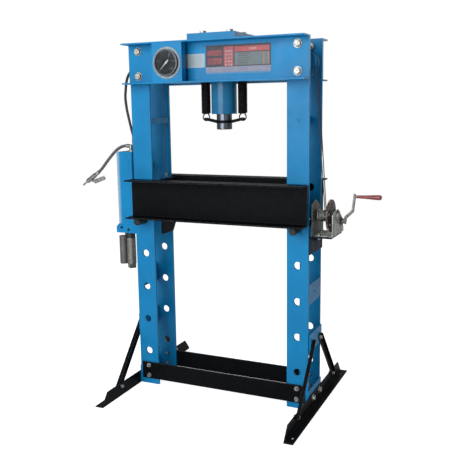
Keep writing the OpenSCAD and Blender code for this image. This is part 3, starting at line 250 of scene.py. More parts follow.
# %% [markdown]
# ## Plated, forged and rolled metal
#
# Bolts are electroplated with zinc, which is bright but mottled. The crank, the rope's drawn wire, the forged
# drum gear, the gauge's stamped flange and the rolled aluminium plates differ from that only in tone, in
# roughness and in how much dirt has dulled them. One recipe holds for all six: two tones in patches, a grain
# drawn at 1.6 mm so that it shows, and edges that handling keeps bright.

# %% Plated metals
RUBBED = "#e4e4e0"


def plated(colour, stain, rough, metal=1.0):
    """Colour and stain in patches 9 mm across, rubbed edges, and a roughness from rough to rough + 0.2."""
    def recipe(tree):
        base = add(tree, "Mix", {0: patches(tree, 9), 6: linear(colour), 7: linear(stain)}, **COLOURS)
        base = add(tree, "Mix", {0: worn_edges(tree, 0.8, 0.6), 6: base, 7: linear(RUBBED)}, **COLOURS)
        return {
            "Base Color": base,
            "Metallic": metal,
            "Roughness": patches(tree, 5, rough, rough + 0.2),
            "Normal": relief(tree, patches(tree, 1.6, 0, 1, 3), 0.2, 0.6),
        }
    return recipe


ZINC = finish("zinc_plate", plated("#b0b3af", "#696c68", 0.32))  # bright, with grey blooms
CRANK = finish("crank_plate", plated("#a3a19e", "#6f6a66", 0.34))  # browned where hands touch it
WIRE = finish("drawn_rope_wire", plated("#54565a", "#3a3c40", 0.45, 0.4))  # dull with rope grease
FORGED = finish("greasy_forged_steel", plated("#6e6761", "#4a423d", 0.34))  # brown with grease and dust
RING = finish("stamped_gauge_flange", plated("#868f95", "#646c72", 0.38))  # a satin grey
ALLOY = finish("rolled_aluminium", plated("#a4a9ac", "#858a8d", 0.36, 0.85))  # pale, under a thin oxide
print("plated:", ", ".join(metal.name for metal in (ZINC, CRANK, WIRE, FORGED, RING, ALLOY)))

# %% [markdown]
# ## Turned, ground and drawn steel
#
# The ram is ground and polished, the bed pins are turned and then blackened in hot oil, like the two socket
# screws on the pump, and the pump's barrels are drawn tube, streaked along their length. A tool leaves lines
# in the way it moved, so each is the same noise, stretched until its patches are lines round the axis or
# along it. The real lines are about 0.1 mm apart and are drawn 1.2 to 3 mm apart to show.

# %% Turned metals
ROUND_Z, ROUND_Y, ALONG_Z = (0.02, 0.02, 1), (0.02, 1, 0.02), (1, 1, 0.05)


def turned(colour, stain, rough, pitch, stretch, metal=1.0):
    """Lines that a tool left, one pitch apart in millimetres. They set the gloss and a relief of 0.06 mm."""
    def recipe(tree):
        lines = patches(tree, pitch, 0, 1, 2, stretch)
        tones = {0: patches(tree, 35, 0, 0.5), 6: linear(colour), 7: linear(stain)}
        return {
            "Base Color": add(tree, "Mix", tones, **COLOURS),
            "Metallic": metal,
            "Roughness": add(tree, "MapRange", {0: lines, 3: rough, 4: rough + 0.14}),
            "Normal": relief(tree, lines, 0.06, 0.8, 0.25),
        }
    return recipe


ROD = finish("ground_ram_steel", turned("#626a72", "#393e45", 0.2, 1.2, ROUND_Z))  # a dark mirror
PIN = finish("blackened_pin_steel", turned("#23262a", "#15171a", 0.34, 1.5, ROUND_Y, 0.5))  # oily black
BARREL = finish("drawn_pump_barrel", turned("#6a6866", "#4c4a48", 0.36, 3, ALONG_Z, 0.6))  # streaked grey
print("turned:", ", ".join(metal.name for metal in (ROD, PIN, BARREL)))

# %% [markdown]
# ## Galvanised sheet
#
# The winch is pressed from hot-dip galvanised sheet. Its zinc froze in flat crystals about 8 mm across, each
# with a tone of its own, which Voronoi cells give at once. Grease and dust have browned it in patches. Next
# to the upright it is darkened further as painted shade, and there the colour follows X.

# %% Galvanised sheet
CRYSTAL = 8
NEAR_UPRIGHT = (480, 498)  # mm in X: the winch's side plate there and the end of the drum beside it
# how strong the dark painted shade is on the plate next to the upright
UPRIGHT_SHADE_SHARE = 0.8


def between(tree, axis, low, high):
    """1 where that object coordinate lies between two lengths in millimetres, and 0 elsewhere.

    Compare gives 1 where the value is less than half the range away from its middle."""
    where = add(tree, "SeparateXYZ", {0: add(tree, "TexCoord", out="Object")}, axis)
    middle, half = (low + high) / 2 * MM, (high - low) / 2 * MM
    return add(tree, "Math", {0: where, 1: middle, 2: half}, operation="COMPARE")


def spangled(tree):
    """One tone for each crystal, then brown patches, painted shade next to the upright, and rubbed edges."""
    where = add(tree, "TexCoord", out="Object")
    crystal = add(tree, "TexVoronoi", {"Vector": where, "Scale": 1 / (CRYSTAL * MM)}, "Color")
    tone = add(tree, "SeparateColor", {0: crystal})
    shade_near_upright = {0: between(tree, "X", *NEAR_UPRIGHT), 1: UPRIGHT_SHADE_SHARE}
    base = add(tree, "Mix", {0: tone, 6: linear("#c3cac3"), 7: linear("#9da49d")}, **COLOURS)
    for share, colour in (
        (patches(tree, 22, -0.3, 0.8, 5), "#5b4b42"),
        # a dark brown painted shade on the plate next to the upright
        (add(tree, "Math", shade_near_upright, operation="MULTIPLY"), "#2b2422"),
        (worn_edges(tree, 2.5, 0.9), "#d5d9d2"),
    ):
        base = add(tree, "Mix", {0: share, 6: base, 7: linear(colour)}, **COLOURS)
    return {
        "Base Color": base,
        "Metallic": 0.45,
        "Roughness": add(tree, "MapRange", {0: tone, 3: 0.38, 4: 0.6}),
        "Normal": relief(tree, tone, 0.3, 0.8),
    }


GALVANISED = finish("galvanised_sheet", spangled)
print(GALVANISED.name, "with crystals of", CRYSTAL, "mm")

# %% [markdown]
# ## Plastic, rubber and ink
#
# The hoses are extruded rubber, the grip is dipped PVC and the knob is moulded phenolic. The gauge's can is
# gloss black enamel on thin steel, and its dial is printed matt black so that it can be read in any light.
# All of them are dielectrics, so they differ only in colour, gloss and grain, and one recipe makes them. The
# grain is under half a millimetre on the real ones and is drawn at 2 to 4 mm to show.

# %% Dielectrics
def moulded(colour, shade, rough, grain, coat=0.0, shine=0.5):
    """Two close tones in patches 22 mm across, and a relief of 0.2 mm with that grain in millimetres."""
    def recipe(tree):
        tones = {0: patches(tree, 22), 6: linear(colour), 7: linear(shade)}
        return {
            "Base Color": add(tree, "Mix", tones, **COLOURS),
            "Roughness": patches(tree, 11, rough, rough + 0.12),
            "Specular IOR Level": shine,
            "Coat Weight": coat,
            "Normal": relief(tree, patches(tree, grain, 0, 1, 3), 0.2, 0.6),
        }
    return recipe


# The gauge: a glossy can, a dial and marks that barely shine, and a pointer in plain white paint
GAUGE = finish("gauge_enamel", moulded("#0e0f11", "#151618", 0.26, 3, 0.2))
DIAL = finish("dial_print", moulded("#24282e", "#1c2026", 0.5, 2, 0.0, 0.1))
MARKS = finish("dial_ink", moulded("#a9adb1", "#989ca1", 0.5, 2, 0.0, 0.1))
POINTER = finish("pointer_paint", moulded("#e9e9e4", "#dcdcd6", 0.4, 2))
# The hoses: new black rubber for oil, and an older, grey one with a slight sheen for air
OIL_RUBBER = finish("oil_hose_rubber", moulded("#15171b", "#1e2126", 0.45, 3))
AIR_RUBBER = finish("air_hose_rubber", moulded("#56565f", "#403f47", 0.42, 3, 0.1))
# What a hand holds: a satin black knob and a glossy red grip
PHENOLIC = finish("knob_phenolic", moulded("#17181a", "#202225", 0.45, 2))
PVC = finish("grip_pvc", moulded("#983333", "#7a2828", 0.30, 4, 0.3))
print("on the gauge:", ", ".join(coat.name for coat in (GAUGE, DIAL, MARKS, POINTER)))
print("on hoses and handles:", ", ".join(stuff.name for stuff in (OIL_RUBBER, AIR_RUBBER, PHENOLIC, PVC)))

# %% [markdown]
# ## Glass
#
# The glass over the dial is thin and flat, so it hardly bends what is behind it. True refraction would cost
# many bounces and darken the dial. A low alpha lets the light straight through and keeps a trace of shine.

# %% Glass
def clear(tree):
    """Thin glass: 2 to 5 parts in a hundred of a grey film, very smooth, and nothing else."""
    return {
        "Base Color": linear("#3c4448"),
        "Roughness": patches(tree, 30, 0.02, 0.08),
        "Alpha": patches(tree, 60, 0.02, 0.05),
    }


GLASS = finish("gauge_glass", clear)
print(GLASS.name)

# %% [markdown]
# ## A node in two finishes
#
# The air motor is a cast barrel under a black plastic cap, and the frame has both in one node. Cutting the
# node in two would change the frame. Its material can choose instead, by height: every socket that differs
# between the two is mixed at the cap's lower edge.

# %% Motor barrel and cap
CAP_LOW, CAP_HIGH = 797, 830  # mm in Z: the cap's lower edge, and a little over its top


def capped(tree):
    """Cast aluminium below the cap's edge and black plastic above it."""
    metal = plated("#8b8b86", "#6c6966", 0.36)(tree)
    cap = between(tree, "Z", CAP_LOW, CAP_HIGH)
    dark = {0: cap, 6: metal["Base Color"], 7: linear("#131417")}
    return {
        **metal,
        "Base Color": add(tree, "Mix", dark, **COLOURS),
        "Metallic": add(tree, "MapRange", {0: cap, 3: 0.85, 4: 0.0}),
    }


MOTOR = finish("motor_barrel_and_cap", capped)
print(MOTOR.name, "changes at", CAP_LOW, "mm")

# %% [markdown]
# ## Finishes on the frame's nodes
#
# Each node of the frame has a slot in its record, and each slot has one finish here. A few nodes look
# different from the rest of their slot, such as the varnished cylinder, so they are named one by one. The
# meshes stay as they are, and only their material changes.

# %% Carry the finishes over
BY_SLOT = {
    "blue_paint": BLUE, "black_paint": BLACK, "zinc_plate": ZINC, "bright_steel": ROD, "wire_rope": WIRE,
    "galvanised": GALVANISED, "motor_alloy": MOTOR, "plate_alloy": ALLOY, "gauge_black": GAUGE,
    "dial_black": DIAL, "pointer_white": POINTER, "hose_rubber": OIL_RUBBER, "knob_black": PHENOLIC,
    "grip_red": PVC,
}
OF_THEIR_OWN = {
    "bed_pin_left": PIN, "bed_pin_right": PIN, "rope_hooks": BLACK, "press_cylinder": GLOSS,
    "crank_arm": CRANK, "drum_gear": FORGED, "gauge_ring": RING, "winch_bracket": PAINTED_SHADE_NAVY, "pump_barrel": BARREL,
    "pump_tank": TANK,
}

for part in frame["record"]["subparts"]:
    piece = cad[part["node"]]
    piece.data.materials.clear()
    piece.data.materials.append(OF_THEIR_OWN.get(part["node"], BY_SLOT[part["material_slot"]]))
print(len(cad), "nodes have their finish")

# %% [markdown]
# ## Skins from arrays
#
# Hoses, springs, ropes and bolts are all rings of points joined by quads. Curves with a bevel could give the
# round ones, but not a rope's lobes or a bolt's hexagon. So a grid of points, one row for each ring, is
# worked out as one numpy array, and `skin` closes it into a mesh. Nothing steps through vertices one by one,
# so a rope of many thousand points costs no more code than a hose.

# %% From grids of points to a piece
def quads(rows, spokes, loop):
    """Faces of a ring grid: point (i, k) joins (i, k+1), (i+1, k+1) and (i+1, k), with k going round."""
    i, k = np.meshgrid(np.arange(rows if loop else rows - 1), np.arange(spokes), indexing="ij")
    n, j = (k + 1) % spokes, (i + 1) % rows
    return np.stack([i * spokes + k, i * spokes + n, j * spokes + n, j * spokes + k], -1).reshape(-1, 4)


def skin(name, grids, material, body=None, sharp=40, loop=False):
    """One mesh piece from grids of points [ring, spoke, xyz]. A face closes each end, unless the rings loop.

    An edge is drawn sharp where its two faces meet at more than that angle in degrees."""
    points, faces, start = [], [], 0
    for grid in grids:
        rows, spokes = grid.shape[:2]
        points.append(grid.reshape(-1, 3))
        faces += (quads(rows, spokes, loop) + start).tolist()
        if not loop:
            faces.append((np.arange(spokes)[::-1] + start).tolist())
            faces.append((np.arange(spokes) + start + (rows - 1) * spokes).tolist())
        start += rows * spokes
    mesh = bpy.data.meshes.new(name)
    mesh.from_pydata(np.concatenate(points).tolist(), [], faces)
    mesh.polygons.foreach_set("use_smooth", np.ones(len(faces), bool))
    mesh.set_sharp_from_angle(angle=math.radians(sharp))
    mesh.materials.append(material)
    made = bpy.data.objects.new(name, mesh)
    scene.collection.objects.link(made)
    if body:
        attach(made, body)
    return made


# %% [markdown]
# ## Rings along a path
#
# A round cord is a circle carried along a path. Each ring needs two directions across the path. If they
# were worked out from the path alone, they would flip where it straightens, so they are carried on from ring
# to ring instead. The path is given by a few points and smoothed by a cubic that goes through all of them.

# %% Tubes and paths
def frames(path):
    """Tangent, side and over at each point. The side is carried along, so the skin never twists."""
    tangent = np.gradient(path, axis=0)
    tangent /= np.linalg.norm(tangent, axis=1)[:, None]
    side = np.zeros_like(path)
    last = np.cross(tangent[0], (0.3, 1, 0.2))
    for i, along in enumerate(tangent):  # one step for each ring, not for each vertex
        last = last - along * last.dot(along)
        last = last / np.linalg.norm(last)
        side[i] = last
    return tangent, side, np.cross(tangent, side)


def tube(path, radius, spokes):
    """Rings round a path: point(i, k) = path(i) + radius * (cos(angle k) * side(i) + sin(angle k) * over(i)).

    The radius is one number, a column with one for each ring, or a table with one for each point."""
    tangent, side, over = frames(path)
    turn = np.linspace(0, 2 * np.pi, spokes, endpoint=False)
    ring = np.cos(turn)[None, :, None] * side[:, None] + np.sin(turn)[None, :, None] * over[:, None]
    return path[:, None] + np.broadcast_to(radius, (len(path), spokes))[..., None] * ring


def smooth_path(points, steps):
    """A cubic through the points, with that many steps from each to the next.

    For t from 0 to 1 between b and c, with a before them and d after: half of 2b + (c - a) t
    + (2a - 5b + 4c - d) t^2 + (3b - a - 3c + d) t^3."""
    p = np.asarray(points, float)
    a, b, c, d = np.concatenate([p[:1], p[:-2]]), p[:-1], p[1:], np.concatenate([p[2:], p[-1:]])
    t = (np.arange(steps) / steps)[:, None, None]
    curve = 0.5 * (2 * b + (c - a) * t + (2 * a - 5 * b + 4 * c - d) * t**2 + (3 * b - a - 3 * c + d) * t**3)
    return np.concatenate([curve.transpose(1, 0, 2).reshape(-1, 3), p[-1:]])


def length_of(path):
    """The sum of the distances from each point to the next."""
    return float(np.linalg.norm(np.diff(path, axis=0), axis=1).sum())


# %% [markdown]
# ## The two hoses
#
# A black hydraulic hose rises from the tank and goes into the head, so both of its ends belong to the press.
# The air line is stiff rubber that leaves its elbow level, droops and carries the air valve on its free end.
# A simulated cord would fall in its own way, so each route is a list of given points, the same as in the
# CAD model, on a curve fine enough to look round.

# %% Hoses
OIL_ROUTE = MM * np.array([
    [-100.3, -35, 1770], [-160, -36, 1768], [-240, -38, 1762], [-320, -40, 1752], [-400, -40, 1738],
    [-460, -36, 1722], [-510, -28, 1700], [-545, -18, 1670], [-566, -8, 1635], [-578, 0, 1593],
    [-584, 4, 1550], [-580, 8, 1491], [-568, 10, 1430], [-556, 12, 1375], [-550, 12, 1355],
    [-548, 12, 1335], [-548, 12, 1310.3],
])
AIR_ROUTE = MM * np.array([
    [-544, -40, 1300], [-565, -40, 1300], [-586, -40, 1296.6], [-606.5, -40, 1288], [-626.5, -40, 1275],
    [-645.5, -40, 1258.7], [-664, -40, 1240.3], [-682.5, -40, 1220.7], [-701.5, -40, 1199.5],
    [-721.5, -40, 1177], [-742.8, -40, 1157.1], [-764, -40, 1142.3],
])
OIL_HOSE_D, AIR_HOSE_D = 14 * MM, 16 * MM
oil_path, air_path = smooth_path(OIL_ROUTE, 8), smooth_path(AIR_ROUTE, 6)

oil_hose = skin("oil_hose", [tube(oil_path, OIL_HOSE_D / 2, 24)], OIL_RUBBER, "frame")
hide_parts("hydraulic_hose")

air_line = skin("air_line", [tube(air_path, AIR_HOSE_D / 2, 24)], AIR_RUBBER, "frame")
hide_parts("air_hose")
print("oil hose", round(length_of(oil_path), 3), "m, air line", round(length_of(air_path), 3), "m")

# %% [markdown]
# ## Crimped ferrules
#
# A hose is held on its fitting by a steel sleeve pressed down in bands. The sleeve is a profile of radii
# carried along the hose's end, wide between the bands and narrow in them. The eyes of the ropes are closed by
# one each too, so it is a function.

# %% Ferrules on the hoses
# Places along the sleeve as a share of its length, and the radius at each as a share of the hose's
BAND_PLACE = np.array([0, 0.1, 0.2, 1.6, 1.8, 2.0, 2.2, 2.4, 2.6, 2.8, 3.0, 3.2, 3.3]) / 3.3
BAND_SWELL = np.array([1.02, 1.26, 1.3, 1.3, 1.22, 1.3, 1.3, 1.22, 1.3, 1.3, 1.22, 1.28, 1.02])[:, None]


def ferrule(name, end, towards, diameter, length, body="frame"):
    """Rings with radius = swell(s) * hose radius, from a hose's end back along it. The length is in mm."""
    along = np.array(towards - end) / np.linalg.norm(towards - end)
    path = end + np.outer(BAND_PLACE * length * MM, along)
    skin(name, [tube(path, BAND_SWELL * diameter / 2, 24)], ZINC, body)


ferrule("oil_ferrule_tank", OIL_ROUTE[-1], OIL_ROUTE[-2], OIL_HOSE_D, 32)
ferrule("oil_ferrule_head", OIL_ROUTE[0], OIL_ROUTE[1], OIL_HOSE_D, 32)
ferrule("air_ferrule_tank", AIR_ROUTE[0], AIR_ROUTE[1], AIR_HOSE_D, 16)
ferrule("air_ferrule_valve", AIR_ROUTE[-1], AIR_ROUTE[-2], AIR_HOSE_D, 24)
print("four ferrules, up to", round(BAND_SWELL.max() * AIR_HOSE_D / MM, 1), "mm across")

# %% [markdown]
# ## Return springs
#
# Each side of the ram hangs on a close-coiled spring of 6 mm wire. The coil is a helix, at both ends the wire
# turns in to the axis, and then it makes a round loop to hang by. A screw modifier would make the coil but
# not its ends, so all of it is one path for one tube. The upper loop stays with the head and the lower one
# goes down with the ram.

# %% Springs
SPRING_X, SPRING_R, WIRE_R, LOOP_R = 101 * MM, 21 * MM, 3 * MM, 18 * MM
COIL_LOW, COIL_HIGH, COIL_TURNS = 1463 * MM, 1683 * MM, 35
LOOP_AWAY = 15 * MM


def spring_end(coil_z, loop_z, way):
    """From the coil's edge in to the axis, then round the loop: x = r cos a, z = r sin a, a from -90 degrees.

    way is 1 at the top and -1 at the bottom, where everything is turned over."""
    bend = np.array([[-7 * way, 18, 0], [-10 * way, 11, 0], [-7 * way, 4, 0]]) * MM + [0, 0, coil_z]
    turn = np.radians(np.arange(0, 335, 12) - 90) * way
    loop = np.stack([LOOP_R * np.cos(turn) * way, 0 * turn, loop_z + LOOP_R * np.sin(turn)], 1)
    return np.concatenate([bend, loop])


def spring_path():
    """Helix: x = r cos a, y = r sin a, z rising with a. It starts and ends on the +Y side."""
    turn = np.linspace(0, 2 * np.pi * COIL_TURNS, COIL_TURNS * 20 + 1) + np.pi / 2
    rise = np.linspace(COIL_LOW + WIRE_R, COIL_HIGH - WIRE_R, len(turn))
    coil = np.stack([SPRING_R * np.cos(turn), SPRING_R * np.sin(turn), rise], 1)
    top = spring_end(COIL_HIGH - WIRE_R, COIL_HIGH + LOOP_AWAY, 1)
    bottom = spring_end(COIL_LOW + WIRE_R, COIL_LOW - LOOP_AWAY, -1)[::-1]
    # Each cubic takes in three points of the coil, so that it leaves it smoothly, and that stretch is cut off
    above = smooth_path(np.concatenate([coil[-3:], top]), 5)[11:]
    below = smooth_path(np.concatenate([bottom, coil[:3]]), 5)[:-11]
    return np.concatenate([below, coil[1:-1], above])


for side, name in ((-1, "left"), (1, "right")):
    spring = skin("spring_" + name, [tube(spring_path() + [side * SPRING_X, 0, 0], WIRE_R, 10)], BLACK)
    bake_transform(spring)
    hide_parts("return_spring_" + name)
print("spring wire", round(length_of(spring_path()), 2), "m in each")

# %% [markdown]
# ## Wire rope
#
# A wire rope is six strands laid round a core, so its outline is six round lobes that turn once in about
# seven diameters. If every strand were a tube, half of the mesh would lie hidden inside. Here one skin has
# that outline as its radius: r(a) = c cos(b) + sqrt(s^2 - c^2 sin^2(b)), where b is the angle to the nearest
# strand, c its distance from the middle and s its radius.

# %% The skin of a rope
ROPE_R, ROPE_LAY = 2.5 * MM, 36 * MM
STRAND_AT, STRAND_R = 0.655, 0.345  # shares of the rope's radius
RING_STEP = 2.2 * MM


def even(path, step):
    """The same path with its points a step apart, found along the lines between the old ones."""
    along = np.concatenate([[0], np.cumsum(np.linalg.norm(np.diff(path, axis=0), axis=1))])
    wanted = np.linspace(0, along[-1], max(2, int(along[-1] / step) + 1))
    return np.stack([np.interp(wanted, along, path[:, k]) for k in range(3)], axis=1)


def rope(path, spokes=36, radius=ROPE_R):
    """Rings along a path with the radius above. The lobes turn by 360 degrees for each lay of length."""
    path = even(np.asarray(path, float), RING_STEP)
    along = np.arange(len(path)) * length_of(path) / (len(path) - 1)
    turn = np.linspace(0, 2 * np.pi, spokes, endpoint=False)[None]
    lean = (turn - 2 * np.pi * along[:, None] / ROPE_LAY + np.pi / 6) % (np.pi / 3) - np.pi / 6
    centre, strand = radius * STRAND_AT, radius * STRAND_R
    lobe = centre * np.cos(lean) + np.sqrt(np.maximum(strand**2 - (centre * np.sin(lean)) ** 2, 0))
    return tube(path, lobe, spokes)


# %% [markdown]
# ## The way of the ropes
#
# Two ropes rise from the winch to the sheaves in the head. The short one goes over the right sheave and down
# to the bed. The long one goes over both, and between them a grooved horn leads it round behind the cylinder.
# What stands still is one piece. The last stretch down to the bed gets shorter when the bed goes up, so each
# is a piece of its own.

# %% Ropes over the sheaves
SHEAVE_R, SHEAVE_Z = 54 * MM, 1700 * MM
DROP_X = 366 * MM
NEAR_Y, FAR_Y = -6 * MM, 36 * MM
RIGHT_SHEAVE, LEFT_SHEAVE = DROP_X + SHEAVE_R, SHEAVE_R - DROP_X
DRUM_Z, START_Y = 972 * MM, -24.3 * MM
SHORT_START, LONG_START = [538 * MM, START_Y, DRUM_Z], [544 * MM, START_Y, DRUM_Z]
HORN_X, HORN_Y, CREST = 30 * MM, 69.8 * MM, SHEAVE_Z + SHEAVE_R
MEETS_AT = 7.5  # degrees above the sheave's middle, where the rope from the drum touches it


def over_sheave(x, y, first, last):
    """An arc of the sheave's rope circle: x + r cos a, z + r sin a, from one angle to another in degrees."""
    turn = np.radians(np.append(np.arange(first, last, 3), last))
    return np.stack([x + SHEAVE_R * np.cos(turn), y + 0 * turn, SHEAVE_Z + SHEAVE_R * np.sin(turn)], 1)


short_rope = np.concatenate([[SHORT_START], over_sheave(RIGHT_SHEAVE, NEAR_Y, MEETS_AT, 180)])
long_rope = np.concatenate([
    [LONG_START], over_sheave(RIGHT_SHEAVE, FAR_Y, MEETS_AT, 90),
    [[HORN_X, HORN_Y, CREST], [-HORN_X, HORN_Y, CREST]], over_sheave(LEFT_SHEAVE, FAR_Y, 90, 180),
])
lifting = skin("lifting_ropes", [rope(short_rope, 30), rope(long_rope, 30)], WIRE, "frame", 80)
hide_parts("lifting_rope")
print("ropes of", round(length_of(short_rope), 2), "and", round(length_of(long_rope), 2), "m stand still")

# %% Ropes down to the bed
DROPS = (("left", -DROP_X, FAR_Y), ("right", DROP_X, NEAR_Y))
DROP_TOP, DROP_LOW = 1699.7 * MM, 1155.1 * MM

for name, x, y in DROPS:
    drop = skin("rope_down_" + name, [rope([[x, y, DROP_TOP], [x, y, DROP_LOW]])], WIRE, sharp=80)
    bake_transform(drop)
    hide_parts("rope_drop_" + name)
print("each drop", round(DROP_TOP - DROP_LOW, 3), "m")

# %% [markdown]
# ## Rope ends
#
# Each rope ends in an eye through a lug on the bed, closed by a pressed ferrule. At its other end it lies on
# the winch drum in a helix, where x goes up by one rope's width for each turn. A texture of turns would look
# flat from the side, so both are the same lobed skin on a new path.

# %% Eyes on the bed and turns on the drum
EYE_R, EYE_Z = 11 * MM, 1119.1 * MM
DRUM_TURNS, DRUM_LEFT, TURN_R = 6, 502 * MM, 24.4 * MM
THICKER = 1.05  # the eye's strands spread a little where they bend

once = np.linspace(-np.pi / 2, 1.5 * np.pi, 49)
for name, x, y in DROPS:
    eye = np.stack([x + 0 * once, y + EYE_R * np.cos(once), EYE_Z - EYE_R * np.sin(once)], 1)
    skin("rope_eye_" + name, [rope(eye, 30, ROPE_R * THICKER)], WIRE, "bed", 80)
    ferrule("rope_ferrule_" + name, np.array([x, y, DROP_LOW]), np.array([x, y, EYE_Z]), 9 * MM, 27, "bed")

wound = np.linspace(0, 2 * np.pi * DRUM_TURNS, DRUM_TURNS * 40)
turns = np.stack([DRUM_LEFT + 2 * ROPE_R * wound / (2 * np.pi), TURN_R * np.sin(wound),
                  DRUM_Z + TURN_R * np.cos(wound)], 1)
skin("rope_on_drum", [rope(turns, 24)], WIRE, "drum", 80)
print("rope on the drum", round(length_of(turns), 2), "m")

# %% [markdown]
# ## Bolts
#
# A bolt is cold-forged and its head is chamfered, so each corner of the hexagon is rounded off by a cone. It
# could be cut from a hexagon with a cone, but one rule for every ring is shorter: the radius is the smaller
# of a round limit and the hexagon. The washer, the head, the nut and the end of the thread are rings of one
# closed skin, in multiples of the thread's diameter, so one table makes every size.

# %% One bolt
SPOKES = 24
HALF_FLATS = 0.75  # half the hexagon's width across its flats, over the thread's diameter
# The hexagon's radius at each spoke: half its width, over the cosine of the angle to the nearest flat
TO_FLAT = (np.linspace(0, 2 * np.pi, SPOKES, endpoint=False) + np.pi / 6) % (np.pi / 3) - np.pi / 6
HEXAGON = HALF_FLATS / np.cos(TO_FLAT)
ROUND = np.full(SPOKES, 9.0)  # so large that only the round limit counts
# Along the bolt from the washer's seat, the round limit there, and 1 where the hexagon limits it too
HEAD_RINGS = [(0, 0.5, 0), (0, 1.03, 0), (0.02, 1.05, 0), (0.13, 1.05, 0), (0.15, 1.03, 0), (0.15, 0.87, 1),
              (0.72, 0.87, 1), (0.77, 0.79, 1), (0.80, 0.70, 1), (0.80, 0.66, 1), (0.77, 0.62, 1)]
NUT_RINGS = [(-1.10, 0.42, 0), (-1.02, 0.5, 0), (-0.80, 0.5, 0), (-0.80, 0.66, 1), (-0.79, 0.72, 1),
             (-0.72, 0.87, 1), (-0.05, 0.87, 1), (0, 0.80, 1), (0, 0.5, 0)]


def lathe(place, heading, along, radius, spokes):
    """Rings round a straight axis, all in millimetres. The radius is given as in `tube`.

    point(i, k) = place + along(i) * heading + radius(i, k) * (cos(angle k) * side + sin(angle k) * over)."""
    heading = np.asarray(heading, float)
    side = np.cross(heading, np.roll(heading, 1))
    side /= np.linalg.norm(side)
    over = np.cross(heading, side)
    turn = np.linspace(0, 2 * np.pi, spokes, endpoint=False)
    ring = np.cos(turn)[:, None] * side + np.sin(turn)[:, None] * over
    axis = np.asarray(place) + np.outer(along, heading)
    return MM * (axis[:, None] + np.broadcast_to(radius, (len(axis), spokes))[..., None] * ring)


def bolt(place, heading, thread, grip):
    """Rings from the thread's end to the head's top: radius = thread * min(round limit, hexagon)."""
    nut = np.array(NUT_RINGS) - [grip / thread, 0, 0]
    rings = np.concatenate([nut, HEAD_RINGS])
    shape = np.where(rings[:, 2:] > 0, HEXAGON, ROUND)
    return lathe(place, heading, rings[:, 0] * thread, thread * np.minimum(rings[:, 1:2], shape), SPOKES)


# %% [markdown]
# ## Where the bolts are
#
# The press is the same in its four quarters, so each bolt is given once and mirrored into the other three.
# What it holds lies between its washer and its nut, and the thickness of that is its grip.

# %% Bolts
SIDES = [(x, y) for x in (-1, 1) for y in (-1, 1)]
BAR_X, WEB_Y = 425, 113
TO_SIDE, TO_FRONT, UP = (1, 0, 0), (0, 1, 0), (0, 0, 1)


def mirrored(x, y, heights, heading, thread, grip):
    """The same bolts in each quarter: place and heading are multiplied by 1 or -1 in X and in Y."""
    quarters = [(np.array((a, b, 1)), z) for a, b in SIDES for z in heights]
    return [bolt((x, y, z) * sides, heading * sides, thread, grip) for sides, z in quarters]


on_head = mirrored(BAR_X, WEB_Y, (1656, 1779), TO_FRONT, 20, 20)  # through the beams and the bars
on_head += mirrored(72, 80, (1848,), UP, 20, 52)  # down through the head plate
on_base = mirrored(BAR_X, WEB_Y, (54, 110), TO_FRONT, 12, 20)  # the crossbars
on_base += mirrored(490, 55, (50,), TO_SIDE, 16, 10)  # the feet
on_base += mirrored(494, 56, (335,), TO_SIDE, 12, 20)  # the braces' upper ends
on_base += mirrored(494, 300, (52,), TO_SIDE, 12, 9)  # the braces' lower ends
on_winch = [bolt((514, y, 881), UP, 10, 9) for y in (-48, 56)]
for where, bolts in (("head", on_head), ("base", on_base + on_winch)):
    fasteners = skin("hex_bolts_" + where, bolts, ZINC, "frame", 30)
    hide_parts({"head": "head_bolts", "base": "frame_bolts"}[where])
print(len(on_head), "bolts in the head and", len(on_base + on_winch), "below")

# %% [markdown]
# ## Socket screws and weld marks
#
# Two socket screws hold the pump's cover. A cut would make the socket, but it can be part of the same
# profile: the rings go over the head and back down inside, where the hexagon limits them. The tube between
# the bars is welded through a hole in each bar, and the weld is a low round button under the paint.

# %% Screws and plug welds
COVER_SCREWS, COVER_Y = ((-599, 858), (-556, 847)), -59
SCREW_ALONG = [-9, 0, 0, 6.4, 7, 7, 3.2]
SCREW_LIMIT = np.array([[5], [5], [6.5], [6.5], [5.9], [3.6], [3.6]])
FIRST_INSIDE = 5  # the ring where the profile turns down into the socket
TOWARDS = (0, -1, 0)

socket = np.where(np.arange(len(SCREW_ALONG))[:, None] < FIRST_INSIDE, ROUND, HEXAGON * 4)
screws = [lathe((x, COVER_Y, z), TOWARDS, SCREW_ALONG, np.minimum(SCREW_LIMIT, socket), SPOKES)
          for x, z in COVER_SCREWS]
skin("pump_socket_screws", screws, PIN, "frame", 30)

WELD_ALONG, WELD_REACH = [-0.5, 0.6, 1.5, 1.8, 1.3, 0.9], np.array([[9], [9], [7.6], [6], [3.8], [0.6]])
BAR_Y, WELD_Z = 105, 1431
welds = [lathe((BAR_X * x, BAR_Y * y, WELD_Z), (0, y, 0), WELD_ALONG, WELD_REACH, 20) for x, y in SIDES]
skin("plug_welds", welds, BLUE, "frame", 60)
print(len(screws), "screws and", len(welds), "plug welds")

# %% [markdown]
# ## The gauge's rim and glass
#
# The gauge is a can with a bright rim rolled over its glass. A torus would do, but its section is round and a
# rolled rim's is oval. So the rim is a ring of oval rings, which closes on itself. The glass is a flat disc.

# %% Rim and glass
GAUGE_X, GAUGE_Z, RIM_Y = -219, 1713, -202
RIM_R, RIM_HALF_WIDE, RIM_HALF_DEEP, RIM_SET_BACK = 61.2, 3.4, 2.6, 0.5
PANE_R, PANE_T, PANE_SET_BACK = 60, 1.6, 5
FINE = 72  # spokes of a large round

